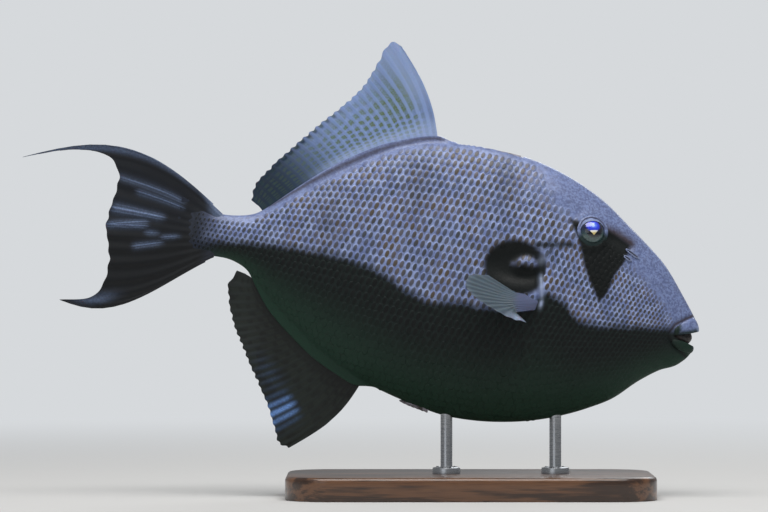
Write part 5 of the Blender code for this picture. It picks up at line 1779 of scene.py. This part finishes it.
@dataclass
class PectoralFin:
    """One side's pectoral fin, which grows from a scaly fleshy base."""

    form: BodyForm
    side: Side
    finish: Material
    ray_finish: Material
    root: Curve = Curve(((0.0, -113.0, -0.6), (1.0, -113.2, -9.4)))
    knuckle: Curve = Curve(((0.0, -128.4, -0.6), (0.5, -129.2, -7.0), (1.0, -126.0, -13.4)))
    edge: Curve = Curve((
        (0, -148.6, 7.4), (0.1, -158.6, 6.4), (0.24, -162.6, 1.6), (0.42, -160.4, -4.8),
        (0.58, -151.2, -10.4), (0.74, -139.6, -14.6), (0.88, -127, -18.2), (1, -117.4, -18.6)))
    out: float = 31.0
    lean: float = 34.0
    sink: float = 2.6
    flesh: float = 0.3
    cup: float = 2.6
    flesh_half: float = 2.5

    def place(self, u: Array, v: Array) -> Array:
        """Return points at shares of the spread and of the way out."""
        outward, inward = (math.tan(math.radians(angle)) for angle in (self.out, self.lean))
        start_x, start_z = self.root(0.5)
        start_y = self.form.flank_y(start_x, start_z) - self.sink
        near = np.clip(v / self.flesh, 0.0, 1.0)[..., None]
        far = np.clip((v - self.flesh) / (1 - self.flesh), 0.0, 1.0)[..., None]
        knuckle = self.knuckle(u)
        flat = np.where(v[..., None] <= self.flesh, mixed(self.root(u), knuckle, near),
                        mixed(knuckle, self.edge(u), far))
        x, z = flat[..., 0], flat[..., 1]
        cup = self.cup * np.sin(np.pi * u) * v * v
        y = start_y + outward * (start_x - x) - inward * (z - start_z) - cup
        return joined(x, self.side.value * y, z)

    def half(self, u: Array, v: Array) -> Array:
        """Return half the thickness, fleshy as far as the knuckle."""
        round_edge = 0.35 + 0.65 * np.sin(np.pi * np.clip(u, 0.02, 0.98))
        return np.maximum(self.flesh_half * bell(np.square(v / 0.42)) * round_edge, mixed(0.6, 0.16, v))

    def shares(self, u: Array, v: Array) -> dict[str, Array]:
        """Return the fin's shares of colour."""
        low = bell((u - 0.93) / 0.09) * ease(v, 0.45, 0.8)
        return {"depth": 1.0 - ease(v, 0.2, 0.36), "dashes": 0.4 * ease(v, 0.35, 0.45),
                "patch": 0.75 * low + 0.12 * ease(v, 0.9, 1.0)}

    def build(self) -> None:
        """Make the fin."""
        facing = np.array((math.tan(math.radians(self.out)), float(self.side.value),
                           math.tan(math.radians(self.lean))))
        Fin(f"pectoral_{self.side.word}", (f"pectoral_fin_{self.side.word}",), Slot.FIN_PALE, 13,
            self.finish, self.ray_finish, self.place, unit(facing), self.half, self.shares, rows=34,
            pleat=0.2, ray_radius=(0.4, 0.12), notch=0.7, split=(0.55, 0.8), ray_start=0.3, seed=17).build()


@dataclass
class Spines:
    """The folded first dorsal spines in their groove, and the blunt pelvic spine."""

    form: BodyForm
    finish: Material
    runs: Rows = ((141.4, 182.6, 1.7, 3.9), (158.0, 183.6, 1.2, 2.7), (172.0, 184.2, 0.9, 2.0))
    groove_depth: float = 4.3
    pelvic: Pair = (170.0, 190.5)
    pelvic_radii: Pair = (2.5, 1.2)
    pelvic_sinks: Pair = (1.2, -0.6)
    steps: int = 40
    sides: int = 18

    def build(self) -> None:
        """Make both groups of spines."""
        shapes = []
        spin, share = circle(self.sides)[None, :], np.linspace(0.0, 1.0, self.steps + 1)[:, None]
        for start, end, radius, height in self.runs:
            behind = mixed(start, end, share)
            low = self.form.back(behind) - self.groove_depth
            wide = radius * mixed(1.0, 0.3, share) * (1 + 0.05 * np.sin(share * 60))
            high = 0.5 * height * mixed(1.0, 0.4, share)
            shapes.append(joined(-behind, wide * np.cos(spin), low + high + high * np.sin(spin)))
        self.make("first_spines", shapes, "first_dorsal_spines")
        behind = mixed(*self.pelvic, share)
        middle = self.form.belly(behind) + mixed(*self.pelvic_sinks, share)
        wide = mixed(*self.pelvic_radii, share) * (1 + 0.06 * np.sin(share * 40)) * np.sqrt(1.02 - share ** 6)
        shape = joined(-behind, wide * np.cos(spin), middle + wide * np.sin(spin))
        self.make("pelvis_spine", [shape], "pelvic_spine")

    def make(self, name: str, shapes: list[Array], node: str) -> None:
        """Make one piece of several tapering bars."""
        faces = ring_faces(self.steps + 1, self.sides)
        faces = repeated(faces, len(shapes), (self.steps + 1) * self.sides)
        settle(new_piece(name, to_world(shapes), faces, [self.finish]), Slot.SPINE, node)


@dataclass
class Stand:
    """The display stand: a rounded board and two rods with screwed flanges."""

    wood: Material
    steel: Material
    corner: float = 30.0
    bevel: float = 3.0
    rod_radius: float = 4.0
    flange_radius: float = 9.5
    flange_height: float = 4.0
    sunk: float = 4.0
    screws: int = 3
    screw_circle: float = 6.6
    screw_radius: float = 1.35
    around: int = 64
    screw_around: int = 24
    corner_points: int = 25
    crease: float = 35.0

    def build(self) -> None:
        """Make the board, the rods and their screws."""
        self.board()
        for end in ("front", "rear"):
            self.rod(end)

    def board(self) -> None:
        """Make the board with a rounded top edge."""
        high = np.array(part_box("stand_base")[1]) / MM
        roll = np.radians(np.linspace(0.0, 90.0, 7))
        levels = [(0.6, 0.0), (0.0, 0.6)]
        levels += [(self.bevel * (1 - math.cos(a)), high[2] - self.bevel * (1 - math.sin(a))) for a in roll]
        count = self.corner_points
        spin = np.radians(np.concatenate([np.linspace(90 * k, 90 * k + 90, count) for k in range(4)]))
        cx = (high[0] - self.corner) * np.repeat((1, -1, -1, 1), count)
        cy = (high[1] - self.corner) * np.repeat((1, 1, -1, -1), count)
        points = []
        for inset, z in levels:
            reach = self.corner - inset
            points.append(joined(cx + reach * np.cos(spin), cy + reach * np.sin(spin), z))
        faces = ring_faces(len(levels), len(spin))
        board = new_piece("board", np.concatenate(points) * MM, faces, [self.wood], 50.0)
        settle(board, Slot.BASE, "stand_base")

    def rod(self, end: str) -> None:
        """Make one rod and its flange screws."""
        low, high = (np.array(corner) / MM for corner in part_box(f"stand_rod_{end}"))
        cx, cy = 0.5 * (low[0] + high[0]), 0.5 * (low[1] + high[1])
        top = high[2] + self.sunk
        foot, flange = low[2] - 0.2, low[2] + self.flange_height
        profile = [(self.flange_radius, foot), (self.flange_radius, flange - 1.0),
                   (self.flange_radius - 0.3, flange - 0.3), (self.flange_radius - 1.0, flange),
                   (self.rod_radius + 0.8, flange), (self.rod_radius + 0.25, flange + 0.2),
                   (self.rod_radius, flange + 0.8), (self.rod_radius, top)]
        points = turned(profile, self.around, cx, cy) * MM
        faces = ring_faces(len(profile), self.around)
        rod = new_piece(f"rod_{end}", points, faces, [self.steel], self.crease)
        settle(rod, Slot.ROD, f"stand_rod_{end}")
        self.screw_heads(end, cx, cy, flange)

    def screw_heads(self, end: str, cx: float, cy: float, height: float) -> None:
        """Make the slotted screw heads round a flange, by a geometry tree."""
        head = self.screw_head()
        spin = np.radians(np.arange(self.screws) * 360.0 / self.screws + 30.0)
        points = joined(cx + self.screw_circle * np.cos(spin), cy + self.screw_circle * np.sin(spin), height)
        spots = point_lines(points * MM, turn=joined(0.0, 0.0, spin * 2.3), size=np.ones_like(points))
        screws = realized(spots, copies_tree(), {"Shape": head, "Finish": self.steel}, f"screws_{end}")
        bpy.data.objects.remove(head)
        smooth(screws.data, self.crease)
        settle(screws, Slot.ROD)

    def screw_head(self) -> Piece:
        """Return one low domed head with a slot."""
        edge = self.screw_radius
        dome = turned(((edge, -0.3), (edge, 0.25), (edge - 0.25, 0.5), (0.5, 0.62)), self.screw_around)
        head = new_piece("screw_head", dome * MM, ring_faces(4, self.screw_around), [self.steel], self.crease)
        corners = [(x, y, z) for z in (0.3, 1.0) for x, y in ((-2, -0.2), (2, -0.2), (2, 0.2), (-2, 0.2))]
        cut(head, new_piece("screw_slot", np.array(corners) * MM, ring_faces(2, 4), [self.steel]))
        return head


@dataclass
class Studio:
    """Floor, soft lights, backdrop tone and the camera."""

    backdrop: tuple = tone(214, 217, 220)
    ambient: float = 0.34
    floor_near: tuple = tone(206, 206, 205)
    floor_reach: float = 60.0
    floor_sides: int = 96
    photo_width: float = 768.0
    photo_middle: Pair = (384.0, 256.0)
    pixel: float = 0.68
    origin_pixel: Pair = (470.0, 497.0)
    distance: float = 3.0
    sensor: float = 36.0
    clip: float = 300.0

    def build(self) -> None:
        """Set the stage."""
        self.floor()
        self.world()
        self.light("key", (0.0, -0.45, 1.5), (-0.05, 0.0, 0.12), (1.5, 1.0), 24.0, (1.0, 0.98, 0.96))
        self.light("fill", (-0.9, -1.8, 0.7), (0.0, 0.0, 0.12), (1.2, 1.2), 3.0, (0.92, 0.96, 1.0))
        self.light("rim", (0.5, 1.3, 0.9), (-0.05, 0.0, 0.15), (1.0, 0.6), 6.0, (0.95, 0.98, 1.0))
        self.camera()

    def floor(self) -> None:
        """Make the wide pale floor."""
        pale = FloorFinish("floor_pale", self.floor_near, self.backdrop).material()
        points = turned(((self.floor_reach, 0.0),), self.floor_sides)
        floor = new_piece("floor", points, [tuple(range(self.floor_sides))], [pale])

    def world(self) -> None:
        """Show the camera the backdrop's tone, and light the scene evenly with a dimmer one."""
        world = bpy.data.worlds.new("backdrop")
        world.use_nodes = True
        graph = Graph(world.node_tree)
        seen = graph.add("ShaderNodeLightPath").outputs["Is Camera Ray"]
        graph.fill(world.node_tree.nodes["Background"],
                   {"Color": self.backdrop, "Strength": graph.span(seen, 0.0, 1.0, self.ambient, 1.0)})
        bpy.context.scene.world = world

    @staticmethod
    def light(name: str, place: Sequence[float], target: Sequence[float], size: tuple[float, float],
              power: float, colour: Sequence[float]) -> None:
        """Add one soft oblong light.

        Args:
            name: its name.
            place: where it hangs, in metres.
            target: what it faces.
            size: its two sides.
            power: its power in watts.
            colour: its colour.
        """
        data = bpy.data.lights.new(name, "AREA")
        data.shape = "RECTANGLE"
        data.size, data.size_y = size
        data.energy = power
        data.color = colour
        lamp = linked(name, data)
        lamp.location = place
        lamp.rotation_euler = (Vector(target) - Vector(place)).to_track_quat("-Z", "Y").to_euler()

    def camera(self) -> None:
        """Set the camera level and square to the right flank, framed as the photo is."""
        data = bpy.data.cameras.new("camera")
        width = self.photo_width * self.pixel * MM
        data.sensor_width = self.sensor
        data.lens = self.sensor * self.distance / width
        data.clip_end = self.clip
        camera = linked("camera", data)
        x = (self.photo_middle[0] - self.origin_pixel[0]) * self.pixel * MM
        z = (self.origin_pixel[1] - self.photo_middle[1]) * self.pixel * MM
        camera.location = (x, -self.distance, z)
        camera.rotation_euler = (math.radians(90.0), 0.0, 0.0)
        bpy.context.scene.camera = camera
        bpy.context.scene.view_settings.view_transform = "Standard"


SKIN_RUNS = ((0, 2, 5), (2, 24, 32), (24, 60, 38), (60, 120, 74), (120, 190, 56), (190, 335, 112),
             (335, 362, 24))
SKIN_COLUMNS = 108
SKIN_INSET = 0.35
# Each fin's finish: its pale, deep, dash and light tones, then its rows, dashes, streaks and sheer.
FIN_LOOKS = (
    ("fin_pale", (138, 162, 212), (32, 50, 70), (92, 112, 66), (188, 206, 242), (11.0, 1.0, 0.35, 0.1)),
    ("ray_pale", (182, 202, 242), (72, 92, 120), (126, 142, 104), (202, 218, 246), (12.0, 0.5, 0.1, 0.1)),
    # The anal fin's tones are darkened as painted shade, and its light tone is a painted highlight.
    ("fin_dark", (26, 33, 30), (10, 14, 12), (44, 54, 46), (116, 158, 226), (5.0, 0.6, 0.5, 0.02)),
    ("ray_dark", (33, 39, 34), (15, 18, 15), (46, 54, 46), (150, 184, 236), (5.0, 0.3, 0.1, 0.05)),
    ("fin_tail", (38, 44, 58), (8, 11, 15), (120, 124, 130), (150, 174, 220), (8.5, 0.8, 0.3, 0.05)),
    ("ray_tail", (46, 52, 68), (16, 20, 26), (120, 124, 130), (150, 174, 220), (8.5, 0.8, 0.1, 0.05)),
    ("fin_pectoral", (84, 98, 108), (88, 96, 126), (84, 92, 66), (178, 192, 224), (8.5, 0.3, 0.2, 0.1)),
    ("ray_pectoral", (78, 92, 102), (82, 90, 118), (76, 82, 62), (164, 178, 208), (8.5, 0.2, 0.1, 0.1)))


def build_fish() -> None:
    """Build every piece of the fish."""
    form = BodyForm()
    markings = Markings(form)
    flank = Flank(form, SKIN_RUNS, SKIN_COLUMNS, SKIN_INSET)
    tones = SkinTone().group()
    skin = SkinFinish("skin", tones).material()
    scales = SkinFinish("scales", tones, grain_size=0.7, grain_depth=0.08, scaled=True).material()
    lining = MouthFinish().material()
    Skin(form, markings, flank, skin, lining).build()
    ScaleCoat(form, markings, flank, scales).build()
    Lips(form, skin, lining).build()
    globe = EyeFinish().material()
    for side in Side:
        Eye(form, side, globe, skin).build()
    Nostrils(form, skin, lining).build()
    pattern = FinPattern().group()
    fins = {name: FinFinish(name, pattern, *(tone(*colour) for colour in colours), *shares).material()
            for name, *colours, shares in FIN_LOOKS}
    MedianFins(form, fins["fin_pale"], fins["fin_dark"], fins["ray_pale"], fins["ray_dark"]).build()
    CaudalFin(fins["fin_tail"], fins["ray_tail"]).build()
    for side in Side:
        PectoralFin(form, side, fins["fin_pectoral"], fins["ray_pectoral"]).build()
    Spines(form, HornFinish().material()).build()


def main() -> None:
    """Build the fish, its stand and the studio."""
    build_fish()
    Stand(WoodFinish().material(), SteelFinish().material()).build()
    Studio().build()


if __name__ == "__main__":
    main()
